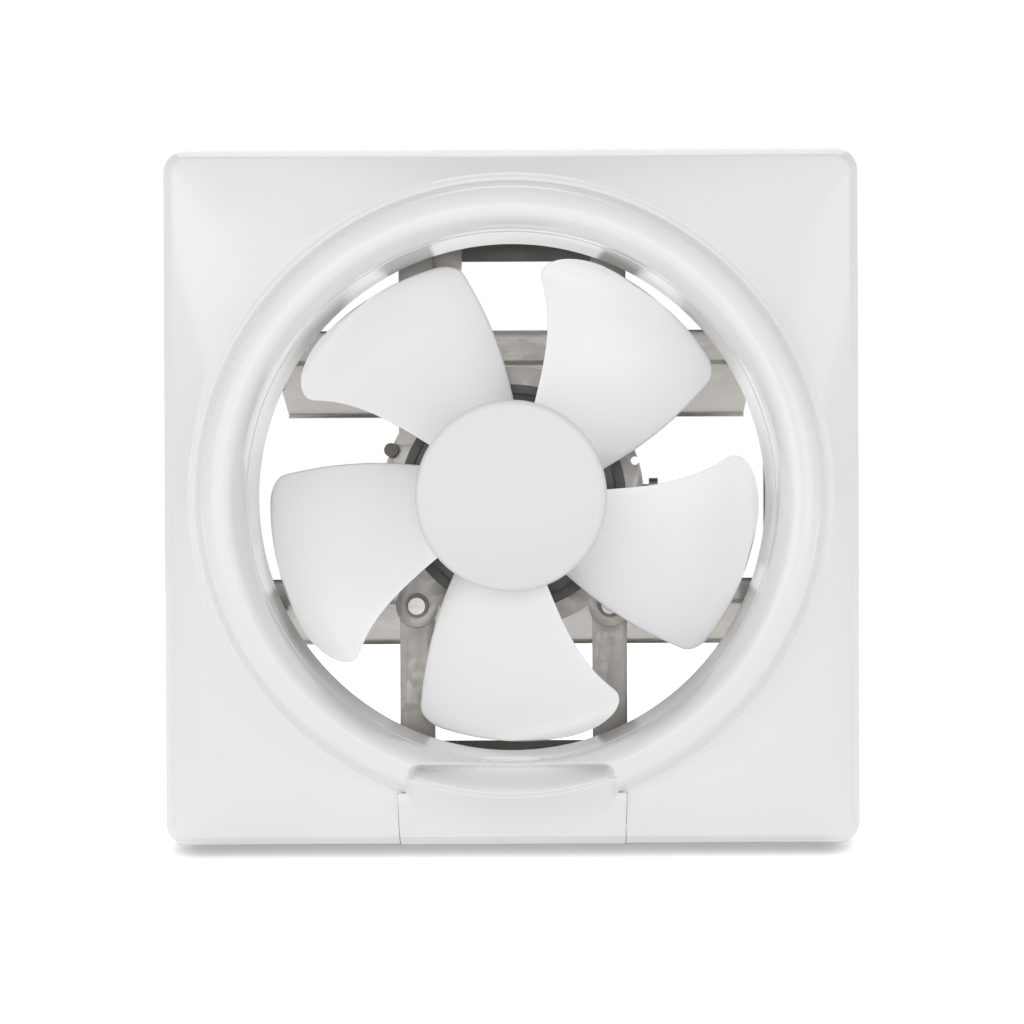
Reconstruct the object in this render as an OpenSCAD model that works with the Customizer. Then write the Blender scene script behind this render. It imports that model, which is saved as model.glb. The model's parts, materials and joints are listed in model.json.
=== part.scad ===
// Wall exhaust fan with a square front panel, a five-bladed impeller and two linked louvres.
// Millimetres. X to the right and Z up as seen from the room, +Y into the wall.
// The origin is on the fan axis, in the plane of the wall that the flange rests on.

/* [Front panel] */
// Width and height of the square front panel
panel_size = 350; // [340:1:360]
// Corner radius of the panel outline
panel_corner_r = 11; // [6:1:16]
// How far the front edge of the rim stands in from the outline
rim_draft = 4.7; // [3:0.1:6]
// Wall thickness of the plastic panel
panel_wall = 2.2; // [2:0.1:2.6]

/* [Air path] */
// Diameter over the blade tips
fan_d = 247; // [242:0.5:249]
// Diameter of the impeller hub
hub_d = 95; // [92:1:98]
// Number of blades
blade_count = 5; // [4:1:6]
// Thickness of a blade
blade_t = 2.2; // [1.8:0.1:2.6]

/* [Frame] */
// Outer width and height of the sheet-steel duct
duct_size = 288; // [286:1:290]
// Sheet thickness of the duct
duct_wall = 1; // [0.8:0.1:1.4]
// Depth of the duct behind the wall plane
duct_depth = 124; // [122:1:140]
// How far the wall flange stands in from the panel's outline
flange_in = 10; // [8:0.5:12]
// Distance of a wall screw hole from the flange's edge
wall_hole_in = 11; // [9:0.5:14]
// Diameter of a wall screw hole
wall_hole_d = 5.5; // [4.5:0.1:6]

/* [Louvres] */
// Angle by which the louvres stand open at rest
open_angle = 72.5; // [70:0.5:74]
// Thickness of the louvre sheet
louvre_t = 1; // [0.8:0.1:1.2]
// Height of each pivot above or below the fan axis
pivot_z = 65; // [64:0.5:66]

/* [Motor] */
// Radius of the motor shells
motor_r = 53.5; // [52:0.5:54]
// Radius of the motor shaft
shaft_r = 4; // [3.5:0.1:4.5]

/* [Hidden] */
ROUND = 96;
SMALL_ROUND = 32;
run_gap = 0.05;
free_gap = 0.3;
// How far a cut runs past the faces it goes through, and past the face it opens
over = 5;
past = 1;

// Places along Y
rim_low_y = -3;
rim_top_y = -12;
face_top_y = -24;
crest_y = -45;
throat_end_y = 14;

// Radii of the bead round the throat
bead_outer_r = 160.5;
crest_r = 141;
bead_inner_r = 131.6;
throat_r = 129.2;

// Places along Y behind the impeller
plate_y = 36;
plate_t = 2;
stay_y = plate_y + plate_t;
stay_t = 1.5;
stay_depth = 7;
stay_x = 50;
stay_w = 18;
duct_half = duct_size / 2;
duct_in = duct_half - duct_wall;
flange_size = panel_size - 2 * flange_in;
wall_hole_at = flange_size / 2 - wall_hole_in;

// Shapes that several pieces share

module rounded_square(size, r) {
    side = size - 2 * r;
    union() {
        square([size, side], center = true);
        square([side, size], center = true);
        for (sx = [-1, 1])
            for (sy = [-1, 1])
                translate([sx * side / 2, sy * side / 2])
                    circle(r = r, $fn = SMALL_ROUND);
    }
}

// A plate cut to a front-view outline, from y to y + t
module plate_y_at(y, t) {
    translate([0, y + t, 0])
        rotate([90, 0, 0])
            linear_extrude(height = t)
                children();
}

// A round bar along Y, from y0 to y1
module bar_y(r, y0, y1, fn = 48) {
    translate([0, y0, 0])
        rotate([-90, 0, 0])
            cylinder(r = r, h = y1 - y0, $fn = fn);
}

// A round bar along X, from x0 to x1
module bar_x(r, x0, x1, fn = 36) {
    translate([x0, 0, 0])
        rotate([0, 90, 0])
            cylinder(r = r, h = x1 - x0, $fn = fn);
}

// A round bar along Z, from z0 to z1
module bar_z(r, z0, z1, fn = 36) {
    translate([0, 0, z0])
        cylinder(r = r, h = z1 - z0, $fn = fn);
}

// A profile of [radius, y] points turned about the fan axis
module turned(points) {
    rotate([90, 0, 0])
        rotate_extrude($fn = ROUND)
            polygon([for (p = points) [p[0], -p[1]]]);
}

// A tube along Y
module tube_y(r_out, r_in, y0, y1) {
    turned([[r_in, y0], [r_out, y0], [r_out, y1], [r_in, y1]]);
}

// A box given by its low and high corners
module box(low, high) {
    translate(low)
        cube(high - low);
}

// An outline in the Y-Z plane drawn out along X, from x0 to x1
module drawn_x(points, x0, x1) {
    translate([x0, 0, 0])
        rotate([90, 0, 90])
            linear_extrude(height = x1 - x0)
                polygon(points);
}

// Front panel

// Quarter arc of the bead, as [radius, y] points from angle a0 to a1
function bead_arc(a0, a1, half_out, half_in, rise, steps) = [
    for (i = [0 : steps])
        let (a = a0 + (a1 - a0) * i / steps,
             half = cos(a) > 0 ? half_out : half_in)
            [crest_r + half * cos(a), face_top_y - rise * sin(a)]
];

// Thin slices that the panel's outer and inner shapes are drawn between
slice = 1;
slope_share = 0.8;
inner_drop = 2;

module panel_hull(shrink, drop) {
    top_r = bead_outer_r - shrink;
    size_low = panel_size - 2 * shrink;
    size_high = size_low - 2 * rim_draft;
    r_low = panel_corner_r - shrink;
    r_high = r_low - rim_draft / 2;
    hull() {
        plate_y_at(rim_low_y, -rim_low_y + drop)
            rounded_square(size_low, r_low);
        plate_y_at(rim_top_y + shrink * slope_share, slice)
            rounded_square(size_high, r_high);
        plate_y_at(face_top_y + shrink, slice)
            circle(r = top_r, $fn = ROUND);
    }
}

bead_steps = 16;
grip_steps = 8;
bead_rise = face_top_y - crest_y;
bead_foot_in = 1;
bead_foot_r = bead_outer_r - bead_foot_in;
bead_seat = 3.4;
bead_half_out = bead_foot_r - crest_r;
bead_half_in = crest_r - bead_inner_r;
bead_outside = bead_arc(0, 180, bead_half_out, bead_half_in, bead_rise, bead_steps);
bead_inside = bead_arc(180, 0, bead_half_out - panel_wall, bead_half_in - panel_wall,
                       bead_rise - panel_wall, bead_steps);

// Openings that the grip tab fills
grip_half = 52.5;
tab_half = 56.9;
grip_rise = 8.1;
grip_top_z = -crest_r + grip_rise;
tab_top_z = -147;
tab_gap = 0.3;

module panel_notch() {
    far_z = -panel_size / 2 - over;
    box([-grip_half, crest_y - over, far_z], [grip_half, over, grip_top_z]);
    box([-tab_half, crest_y - over, far_z], [tab_half, over, tab_top_z]);
}

module front_panel() {
    color("white")
        difference() {
            panel_hull(0, 0);
            panel_hull(panel_wall, inner_drop);
            bar_y(bead_foot_r, face_top_y - over, over, ROUND);
            panel_notch();
        }
}

// Bell mouth, a round moulding whose foot sits in the panel's opening
module bell_mouth() {
    color("white")
        difference() {
            turned(concat(
                [[bead_foot_r, face_top_y + bead_seat]],
                bead_outside,
                [[throat_r, throat_end_y], [throat_r + panel_wall, throat_end_y]],
                bead_inside,
                [[bead_foot_r - panel_wall, face_top_y + bead_seat]]
            ));
            panel_notch();
        }
}

// Grip tab with its finger recess, fitted into the notch at the panel's foot

recess_run = 7;
tab_edge_r = crest_r + recess_run;
tab_front_y = -31;
recess_floor_y = -15;
cheek = 1.8;
// The plain face meets the recess in a step and a narrow land
tab_step = 3;
tab_land = 1;
// The recess in its block: skin below the floor, and how far the block's edge stands out
recess_skin = 4;
recess_lip_r = tab_edge_r - tab_land;
recess_top_drop = 2;
recess_top_y = crest_y + recess_top_drop;
recess_lip_y = recess_top_y + tab_step;
// Hollow behind the tab
tab_wall = 2.5;
tab_foot = 7;
tab_hollow_y = -11;
tab_relief_y = -2;

module grip_tab() {
    half = panel_size / 2;
    foot_z = -half + tab_foot;
    color("white")
        difference() {
            union() {
                drawn_x([
                    [0, -half], [rim_low_y, -half], [rim_top_y, -half + rim_draft],
                    [tab_front_y, -tab_edge_r - tab_step], [tab_front_y, -tab_edge_r + tab_land],
                    [0, -tab_edge_r + tab_land]
                ], -tab_half + tab_gap, tab_half - tab_gap);
                intersection() {
                    turned(concat(
                        [[tab_edge_r + recess_skin, recess_floor_y + recess_skin],
                         [tab_edge_r + recess_skin, recess_lip_y], [recess_lip_r, recess_top_y]],
                        bead_arc(90, 180, bead_half_out, bead_half_in - panel_wall, bead_rise, grip_steps),
                        [[bead_inner_r + panel_wall + past, recess_floor_y + recess_skin]]
                    ));
                    box([-grip_half + tab_gap, recess_top_y, -tab_edge_r - tab_step + past],
                        [grip_half - tab_gap, 0, grip_top_z - tab_gap]);
                }
            }
            // The recess, round at its lower edge and straight at its upper edge
            intersection() {
                bar_y(tab_edge_r, crest_y - over, recess_floor_y, ROUND);
                box([-grip_half + cheek, crest_y - over, -tab_edge_r - over],
                    [grip_half - cheek, recess_floor_y, grip_top_z + past]);
            }
            box([-tab_half + tab_wall, tab_hollow_y, foot_z],
                [tab_half - tab_wall, past, -tab_edge_r - tab_step]);
            box([-tab_half - past, tab_relief_y, foot_z], [tab_half + past, past, grip_top_z]);
        }
}

// Small spring clips on the flange that hold the panel's skirt

spring_t = 1;
spring_foot = 6;
spring_lift = 0.2;
spring_half_w = 7;
spring_at = 90;

module panel_clips() {
    reach = panel_size / 2 - panel_wall - free_gap;
    edge = flange_size / 2;
    fold_y = -duct_wall - spring_lift;
    color("gainsboro")
        for (a = [0 : 90 : 270])
            for (s = [-spring_at, spring_at])
                rotate([0, a, 0])
                    translate([s, 0, 0])
                        drawn_x([
                            [-spring_t - duct_wall, edge - spring_foot], [-spring_t - duct_wall, reach],
                            [0, reach], [0, reach - spring_t], [fold_y, reach - spring_t],
                            [fold_y, edge + spring_lift],
                            [-duct_wall, edge + spring_lift], [-duct_wall, edge - spring_foot]
                        ], -spring_half_w, spring_half_w);
}

// Duct frame

stay_screw_y = 56;
stay_hole_r = 2.1;
gland_x = -34.5;
gland_y = 55;
gland_hole_r = 5.6;
gland_bore_r = 4;

module duct_frame() {
    color("darkgray")
        difference() {
            union() {
                plate_y_at(-duct_wall, duct_wall)
                    square(flange_size, center = true);
                plate_y_at(-duct_wall, duct_depth + duct_wall)
                    square(duct_size, center = true);
            }
            box([-duct_in, -over, -duct_in], [duct_in, duct_depth + over, duct_in]);
            for (sx = [-1, 1])
                for (sz = [-1, 1])
                    translate([sx * wall_hole_at, 0, sz * wall_hole_at])
                        bar_y(wall_hole_d / 2, -over, over);
            for (sx = [-1, 1])
                translate([sx * stay_x, stay_screw_y, 0])
                    bar_z(stay_hole_r, -duct_half - over, duct_half + over);
            translate([gland_x, gland_y, 0])
                bar_z(gland_hole_r, duct_in - over, duct_half + over);
        }
}

// Rear rails, which the closed louvres rest against

rail_leg = 9;
rail_t = 1;
rail_top_y = 115;
rail_bottom_y = 114;
rail_top_z = 131;
rail_bottom_z = -132;

module rear_rail_top() {
    color("dimgray")
        drawn_x([
            [rail_top_y, rail_top_z], [rail_top_y + rail_t, rail_top_z],
            [rail_top_y + rail_t, duct_in - rail_t], [rail_top_y + rail_leg, duct_in - rail_t],
            [rail_top_y + rail_leg, duct_in], [rail_top_y, duct_in]
        ], -duct_in, duct_in);
}

module rear_rail_bottom() {
    color("dimgray")
        drawn_x([
            [rail_bottom_y, rail_bottom_z], [rail_bottom_y, -duct_in],
            [rail_bottom_y - rail_leg, -duct_in], [rail_bottom_y - rail_leg, -duct_in + rail_t],
            [rail_bottom_y - rail_t, -duct_in + rail_t], [rail_bottom_y - rail_t, rail_bottom_z]
        ], -duct_in, duct_in);
}

// Louvre pivots on the duct's side walls

pivot_y = 112;
pin_r = 2.5;
shoulder_r = 5;
louvre_side_gap = 12.5;
louvre_half_w = duct_in - louvre_side_gap;
pin_inner_run = 5;
pin_inner_x = louvre_half_w - pin_inner_run;
shoulder_gap = 2.1;
shoulder_x0 = louvre_half_w + shoulder_gap;
bracket_t = 1;
bracket_half_w = 9;
bracket_half_h = 84;
clip_in = 3.9;
clip_t = 1;
clip_x0 = louvre_half_w - clip_in;
clip_x1 = clip_x0 + clip_t;
clip_r = 4.6;

module side_bracket(side) {
    color("darkgray")
        difference() {
            box([side > 0 ? duct_in - bracket_t : -duct_in, pivot_y - bracket_half_w, -bracket_half_h],
                [side > 0 ? duct_in : -duct_in + bracket_t, pivot_y + bracket_half_w, bracket_half_h]);
            for (sz = [-1, 1])
                translate([0, pivot_y, sz * pivot_z])
                    bar_x(pin_r, -duct_half, duct_half);
        }
}

module pivot_pins() {
    color("silver")
        for (sx = [-1, 1])
            for (sz = [-1, 1])
                translate([0, pivot_y, sz * pivot_z])
                    union() {
                        bar_x(pin_r, sx > 0 ? pin_inner_x : -duct_in, sx > 0 ? duct_in : -pin_inner_x);
                        bar_x(shoulder_r, sx > 0 ? shoulder_x0 : -duct_in + bracket_t,
                              sx > 0 ? duct_in - bracket_t : -shoulder_x0);
                    }
}

module pivot_clips() {
    color("dimgray")
        for (sx = [-1, 1])
            for (sz = [-1, 1])
                translate([0, pivot_y, sz * pivot_z])
                    difference() {
                        bar_x(clip_r, sx > 0 ? clip_x0 : -clip_x1, sx > 0 ? clip_x1 : -clip_x0);
                        bar_x(pin_r, sx > 0 ? clip_x0 - past : -clip_x1 - past,
                              sx > 0 ? clip_x1 + past : -clip_x0 + past);
                    }
}

// Stays that carry the motor plate across the duct

ear_z = 56;
grommet_r = 6;
grommet_neck_r = 4;
grommet_lip = 2;
stay_foot = 7.5;

module stay(side) {
    x0 = side * stay_x - stay_w / 2;
    x1 = side * stay_x + stay_w / 2;
    foot_y = stay_screw_y + stay_foot;
    color("darkgray")
        difference() {
            union() {
                box([x0, stay_y, -duct_in], [x1, stay_y + stay_t, duct_in]);
                box([x0, stay_y, -duct_in], [x0 + stay_t, stay_y + stay_depth, duct_in]);
                box([x1 - stay_t, stay_y, -duct_in], [x1, stay_y + stay_depth, duct_in]);
                box([x0, stay_y, -duct_in], [x1, foot_y, -duct_in + stay_t]);
                box([x0, stay_y, duct_in - stay_t], [x1, foot_y, duct_in]);
            }
            translate([side * stay_x, stay_screw_y, 0])
                bar_z(stay_hole_r, -duct_half, duct_half);
            for (sz = [-1, 1])
                translate([side * stay_x, 0, sz * ear_z])
                    bar_y(grommet_neck_r, stay_y - over, stay_y + stay_t + over);
        }
}

stay_head_r = 4;
stay_head_t = 2.6;
stay_end = 2;

module stay_screws() {
    color("silver")
        for (sx = [-1, 1])
            for (sz = [-1, 1])
                translate([sx * stay_x, stay_screw_y, 0])
                    union() {
                        bar_z(stay_hole_r, sz > 0 ? duct_in - stay_t : -duct_half - stay_end,
                              sz > 0 ? duct_half + stay_end : -duct_in + stay_t);
                        bar_z(stay_head_r, sz > 0 ? duct_in - stay_t - stay_head_t : -duct_in + stay_t,
                              sz > 0 ? duct_in - stay_t : -duct_in + stay_t + stay_head_t);
                    }
}

// Motor plate with its four ears on the stays

plate_r = 68;
plate_bore_r = 38.8;
plate_ear_r = 11;
motor_bolt_at = 56.2;
bolt_r = 1.6;
bolt_angles = [60, 120, 240, 300];
earth_x = -63;
earth_z = 25;
earth_r = 2;
// Round hole in the right ear
ear_hole_x = 63.5;
ear_hole_z = 19;
ear_hole_r = 2.2;

module at_bolts() {
    for (a = bolt_angles)
        translate([motor_bolt_at * cos(a), 0, motor_bolt_at * sin(a)])
            children();
}

module motor_plate() {
    front = plate_y - over;
    back = plate_y + plate_t + over;
    color("silver")
        difference() {
            plate_y_at(plate_y, plate_t)
                union() {
                    circle(r = plate_r, $fn = ROUND);
                    for (sx = [-1, 1])
                        for (sz = [-1, 1])
                            translate([sx * stay_x, sz * ear_z])
                                circle(r = plate_ear_r, $fn = 48);
                    for (sx = [-1, 1])
                        translate([sx * stay_x, 0])
                            square([stay_w, 2 * ear_z], center = true);
                }
            bar_y(plate_bore_r, front, back, ROUND);
            for (sx = [-1, 1])
                for (sz = [-1, 1])
                    translate([sx * stay_x, 0, sz * ear_z])
                        bar_y(grommet_neck_r, front, back);
            at_bolts()
                bar_y(bolt_r, front, back, SMALL_ROUND);
            translate([ear_hole_x, 0, ear_hole_z])
                bar_y(ear_hole_r, front, back, SMALL_ROUND);
            translate([earth_x, 0, earth_z])
                bar_y(earth_r, front, back, SMALL_ROUND);
        }
}

module plate_grommets() {
    back = stay_y + stay_t;
    color("dimgray")
        for (sx = [-1, 1])
            for (sz = [-1, 1])
                translate([sx * stay_x, 0, sz * ear_z])
                    difference() {
                        union() {
                            bar_y(grommet_r, plate_y - grommet_lip, plate_y);
                            bar_y(grommet_neck_r, plate_y, back);
                            bar_y(grommet_r, back, back + grommet_lip);
                        }
                        bar_y(plate_screw_r, plate_y - over, back + over);
                    }
}

plate_screw_r = 2;
plate_head_r = 4.4;
plate_head_t = 2.4;
plate_nut_r = 3.6;
plate_nut_t = 2.6;
plate_screw_end = 3;
// Slot across the screw's head
slot_half_l = 3.2;
slot_half_w = 0.5;
slot_depth = 1;

module plate_screws() {
    front = plate_y - grommet_lip;
    back = stay_y + stay_t + grommet_lip;
    color("dimgray")
        for (sx = [-1, 1])
            for (sz = [-1, 1])
                translate([sx * stay_x, 0, sz * ear_z])
                    difference() {
                        union() {
                            bar_y(plate_head_r, front - plate_head_t, front);
                            bar_y(plate_screw_r, front, back + plate_screw_end);
                            bar_y(plate_nut_r, back, back + plate_nut_t, 6);
                        }
                        box([-slot_half_l, front - plate_head_t - past, -slot_half_w],
                            [slot_half_l, front - plate_head_t + slot_depth, slot_half_w]);
                    }
}

// Motor

shell_t = 1.5;
front_face_y = 16;
front_edge = 4;
front_chamfer = 1.2;
rear_face_y = 47;
rear_edge = 3;
flange_r = 58.8;
rear_r = 38.5;
bearing_r = 11;
boss_wall_r = 14.5;
front_boss_y = 11;
rear_boss_y = 54.5;
lead_r = 2;
lead_y = 42.3;
lead_z = 24;
// Ears of the rear shell, and the cooling slots in its back
rear_ear_edge = 4;
rear_ear_r = motor_bolt_at + rear_ear_edge;
rear_ear_half_w = 34;
vents = 10;
vent_r0 = 19;
vent_r1 = 31;
vent_half_w = 2;

module motor_front_shell() {
    color([0.12, 0.12, 0.12])
        difference() {
            turned([
                [bearing_r, front_boss_y], [boss_wall_r, front_boss_y], [boss_wall_r, front_face_y],
                [motor_r - front_edge, front_face_y], [motor_r - front_chamfer, front_face_y + front_chamfer],
                [motor_r, front_face_y + front_edge], [motor_r, plate_y - shell_t],
                [flange_r, plate_y - shell_t], [flange_r, plate_y], [motor_r - shell_t, plate_y],
                [motor_r - shell_t, front_face_y + front_edge + past],
                [motor_r - front_edge, front_face_y + shell_t], [bearing_r, front_face_y + shell_t]
            ]);
            at_bolts()
                bar_y(bolt_r, plate_y - over, plate_y + over, SMALL_ROUND);
        }
}

module motor_rear_shell() {
    back = plate_y + plate_t;
    color([0.12, 0.12, 0.12])
        difference() {
            union() {
                turned([
                    [boss_wall_r, rear_boss_y], [boss_wall_r, rear_face_y], [rear_r - rear_edge, rear_face_y],
                    [rear_r, rear_face_y - rear_edge], [rear_r, back], [rear_r - shell_t, back],
                    [rear_r - shell_t, rear_face_y - rear_edge - past],
                    [rear_r - rear_edge - past, rear_face_y - shell_t],
                    [bearing_r, rear_face_y - shell_t], [bearing_r, rear_boss_y - shell_t],
                    [0, rear_boss_y - shell_t], [0, rear_boss_y]
                ]);
                intersection() {
                    tube_y(rear_ear_r, rear_r - shell_t / 3, back, back + shell_t);
                    box([-rear_ear_half_w, back - past, -rear_ear_r - over],
                        [rear_ear_half_w, back + over, rear_ear_r + over]);
                }
            }
            at_bolts()
                bar_y(bolt_r, back - over, back + over, SMALL_ROUND);
            for (i = [0 : vents - 1])
                rotate([0, i * 360 / vents, 0])
                    box([vent_r0, rear_face_y - shell_t - past, -vent_half_w],
                        [vent_r1, rear_face_y + past, vent_half_w]);
            translate([0, lead_y, lead_z])
                bar_x(lead_r + lead_gap, -rear_r - over, lead_inner_x + over, 24);
        }
}

bolt_head_r = 2.4;
bolt_head_t = 1.8;
bolt_end = 3.4;
bolt_nut_r = 2.5;
bolt_nut_t = 2.4;

module motor_bolts() {
    front = plate_y - shell_t;
    back = plate_y + plate_t + shell_t;
    color("silver")
        at_bolts()
            union() {
                bar_y(bolt_head_r, front - bolt_head_t, front, SMALL_ROUND);
                bar_y(bolt_r, front, back + bolt_end, SMALL_ROUND);
                bar_y(bolt_nut_r, back, back + bolt_nut_t, 6);
            }
}

stator_y0 = 22;
stator_y1 = 34;
stator_r = 51;
winding_gap = 2;
winding_r = rear_r - winding_gap;
winding_front = 4;
winding_back = 6;
rotor_r = 24;
rotor_short = 1;
air_gap = 0.4;
// Slots of the core: the winding's room and its narrow mouth
slots = 8;
slot_lip = 4;
slot_r0 = rotor_r + slot_lip;
slot_r1 = 40;
core_slot_half_w = 4;
mouth_half_w = 1;

module stator_core() {
    y0 = stator_y0 - past;
    y1 = stator_y1 + past;
    color("dimgray")
        difference() {
            tube_y(stator_r, rotor_r + air_gap, stator_y0, stator_y1);
            for (i = [0 : slots - 1])
                rotate([0, (i + 0.5) * 360 / slots, 0])
                    union() {
                        box([slot_r0, y0, -core_slot_half_w], [slot_r1, y1, core_slot_half_w]);
                        box([rotor_r - past, y0, -mouth_half_w], [slot_r0 + past, y1, mouth_half_w]);
                    }
        }
}

module stator_windings() {
    color("peru")
        union() {
            tube_y(winding_r, slot_r0, stator_y0 - winding_front, stator_y0);
            tube_y(winding_r, slot_r0, stator_y1, stator_y1 + winding_back);
        }
}

bearing_w = 8;

module bearing(y0, y1) {
    color("silver")
        tube_y(bearing_r, shaft_r + run_gap, y0, y1);
}

module front_bearing() {
    bearing(front_boss_y, front_boss_y + bearing_w);
}

module rear_bearing() {
    bearing(rear_face_y - shell_t, rear_boss_y - shell_t);
}

pin_y = 4;
drive_pin_r = 1.5;
drive_pin_half = 8;
nut_y = -22;
thread_r = 3;
thread_l = 8;
shaft_end = 0.5;

module motor_shaft() {
    color("silver")
        difference() {
            union() {
                bar_y(shaft_r, nut_y + thread_l, rear_boss_y - shell_t - shaft_end);
                bar_y(thread_r, nut_y, nut_y + thread_l + past);
            }
            translate([0, pin_y, 0])
                bar_x(drive_pin_r, -shaft_r - past, shaft_r + past);
        }
}

module rotor() {
    color("gray")
        tube_y(rotor_r, shaft_r, stator_y0 + rotor_short, stator_y1 - rotor_short);
}

module drive_pin() {
    color("silver")
        translate([0, pin_y, 0])
            bar_x(drive_pin_r, -drive_pin_half, drive_pin_half);
}

// Impeller

hub_r = hub_d / 2;
hub_front_y = -32;
hub_back_y = 8;
hub_wall = 2.4;
hub_step = 4;
boss_r = 12;
boss_end = 5;
nut_recess_r = 8.6;
nut_seat = 6;
rib_half_w = 0.9;
rib_back_y = -2;
rib_count = 5;
tip_r = fan_d / 2;
first_blade_angle = 56.8;
cap_depth = 6;
cap_y = hub_front_y + cap_depth;
cap_edge = 3.2;
cap_rim_t = 2;
cap_fillet = 1;
cap_steps = 5;

// Blade edges as angles from the blade's own zero line, against radius.
// s runs from 0 at the hub to 1 at the tip.
function lead_angle(s) = 19 + 10.3 * pow(s, 2.6);
function trail_angle(s) = -41.1 + 15.6 * pow(s, 0.85);
function lead_y(s) = -21 + 4 * s;
function trail_y(s) = 7 + 7 * s;

blade_rows = 12;
blade_cols = 12;
blade_lap = 1.5;
blade_root_r = hub_r - blade_lap;
camber = 3.2;
row_crowding = 1.7;
// Where each tip corner begins, and the angle it takes off at the tip
lead_corner_s = 0.807;
lead_corner_a = 17.7;
trail_corner_s = 0.91;
trail_corner_a = 6;

// Radius of row i, and how much of a tip corner is rounded off there
function row_s(i) = 1 - pow(1 - i / blade_rows, row_crowding);
function corner(s, s0) = s < s0 ? 0 : 1 - sqrt(max(0, 1 - pow((s - s0) / (1 - s0), 2)));
function blade_angle(s, u) =
    let (a0 = trail_angle(s) + trail_corner_a * corner(s, trail_corner_s),
         a1 = lead_angle(s) - lead_corner_a * corner(s, lead_corner_s))
        a0 + (a1 - a0) * u;
// The section bows towards the room by a small camber
function blade_mid_y(s, u) = trail_y(s) + (lead_y(s) - trail_y(s)) * u + camber * sin(180 * u);
function blade_point(i, j, side) =
    let (s = row_s(i), u = j / blade_cols, r = blade_root_r + (tip_r - blade_root_r) * s,
         a = blade_angle(s, u))
        [r * cos(a), blade_mid_y(s, u) + side * blade_t / 2, r * sin(a)];

blade_points = [
    for (side = [-1, 1])
        for (i = [0 : blade_rows])
            for (j = [0 : blade_cols])
                blade_point(i, j, side)
];

function at_grid(side, i, j) = side * (blade_rows + 1) * (blade_cols + 1) + i * (blade_cols + 1) + j;

blade_faces = concat(
    [for (i = [0 : blade_rows - 1]) for (j = [0 : blade_cols - 1])
        [at_grid(0, i, j), at_grid(0, i + 1, j + 1), at_grid(0, i + 1, j)]],
    [for (i = [0 : blade_rows - 1]) for (j = [0 : blade_cols - 1])
        [at_grid(0, i, j), at_grid(0, i, j + 1), at_grid(0, i + 1, j + 1)]],
    [for (i = [0 : blade_rows - 1]) for (j = [0 : blade_cols - 1])
        [at_grid(1, i, j), at_grid(1, i + 1, j), at_grid(1, i + 1, j + 1)]],
    [for (i = [0 : blade_rows - 1]) for (j = [0 : blade_cols - 1])
        [at_grid(1, i, j), at_grid(1, i + 1, j + 1), at_grid(1, i, j + 1)]],
    [for (j = [0 : blade_cols - 1]) [at_grid(0, 0, j + 1), at_grid(0, 0, j), at_grid(1, 0, j)]],
    [for (j = [0 : blade_cols - 1]) [at_grid(0, 0, j + 1), at_grid(1, 0, j), at_grid(1, 0, j + 1)]],
    [for (j = [0 : blade_cols - 1])
        [at_grid(0, blade_rows, j), at_grid(0, blade_rows, j + 1), at_grid(1, blade_rows, j)]],
    [for (j = [0 : blade_cols - 1])
        [at_grid(0, blade_rows, j + 1), at_grid(1, blade_rows, j + 1), at_grid(1, blade_rows, j)]],
    [for (i = [0 : blade_rows - 1]) [at_grid(0, i, 0), at_grid(0, i + 1, 0), at_grid(1, i, 0)]],
    [for (i = [0 : blade_rows - 1]) [at_grid(0, i + 1, 0), at_grid(1, i + 1, 0), at_grid(1, i, 0)]],
    [for (i = [0 : blade_rows - 1])
        [at_grid(0, i + 1, blade_cols), at_grid(0, i, blade_cols), at_grid(1, i, blade_cols)]],
    [for (i = [0 : blade_rows - 1])
        [at_grid(0, i + 1, blade_cols), at_grid(1, i, blade_cols), at_grid(1, i + 1, blade_cols)]]
);

module blade() {
    polyhedron(points = blade_points, faces = blade_faces, convexity = 4);
}

module hub_cup() {
    seat_y = cap_y + nut_seat;
    floor_y = cap_y + 2 * hub_wall;
    boss_y = pin_y + boss_end;
    difference() {
        turned([
            [shaft_r, seat_y], [nut_recess_r, seat_y], [nut_recess_r, cap_y + hub_wall],
            [hub_r - hub_step, cap_y + hub_wall], [hub_r - hub_step, cap_y], [hub_r, cap_y],
            [hub_r, hub_back_y], [hub_r - hub_wall, hub_back_y], [hub_r - hub_wall, floor_y],
            [boss_r, floor_y], [boss_r, boss_y], [shaft_r, boss_y]
        ]);
        translate([0, pin_y, 0])
            box([-drive_pin_half, -drive_pin_r, -drive_pin_r], [drive_pin_half, boss_end + past, drive_pin_r]);
    }
}

module impeller() {
    color("white")
        union() {
            hub_cup();
            for (i = [0 : blade_count - 1])
                rotate([0, -first_blade_angle - i * 360 / blade_count, 0])
                    blade();
            for (i = [0 : rib_count - 1])
                rotate([0, i * 360 / rib_count, 0])
                    box([boss_r - past, cap_y + hub_wall + past, -rib_half_w],
                        [hub_r - past, rib_back_y, rib_half_w]);
        }
}

nut_r = 7.5;
nut_front = 0.4;

module impeller_nut() {
    color("white")
        difference() {
            bar_y(nut_r, nut_y - nut_front, cap_y + nut_seat, 6);
            bar_y(thread_r, nut_y - over, cap_y + nut_seat + over);
        }
}

module hub_cap() {
    spigot_r = hub_r - hub_step;
    inner_r = spigot_r - cap_rim_t;
    edge_arc = [
        for (i = [0 : cap_steps])
            let (a = 90 * i / cap_steps)
                [hub_r - cap_edge + cap_edge * sin(a), hub_front_y + cap_edge - cap_edge * cos(a)]
    ];
    color("white")
        turned(concat(
            [[0, hub_front_y]], edge_arc,
            [[hub_r, cap_y], [spigot_r, cap_y], [spigot_r, cap_y + hub_wall],
             [inner_r, cap_y + hub_wall], [inner_r, hub_front_y + hub_wall + cap_fillet],
             [0, hub_front_y + hub_wall]]
        ));
}

// Capacitor on its bracket, left of the motor

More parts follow.
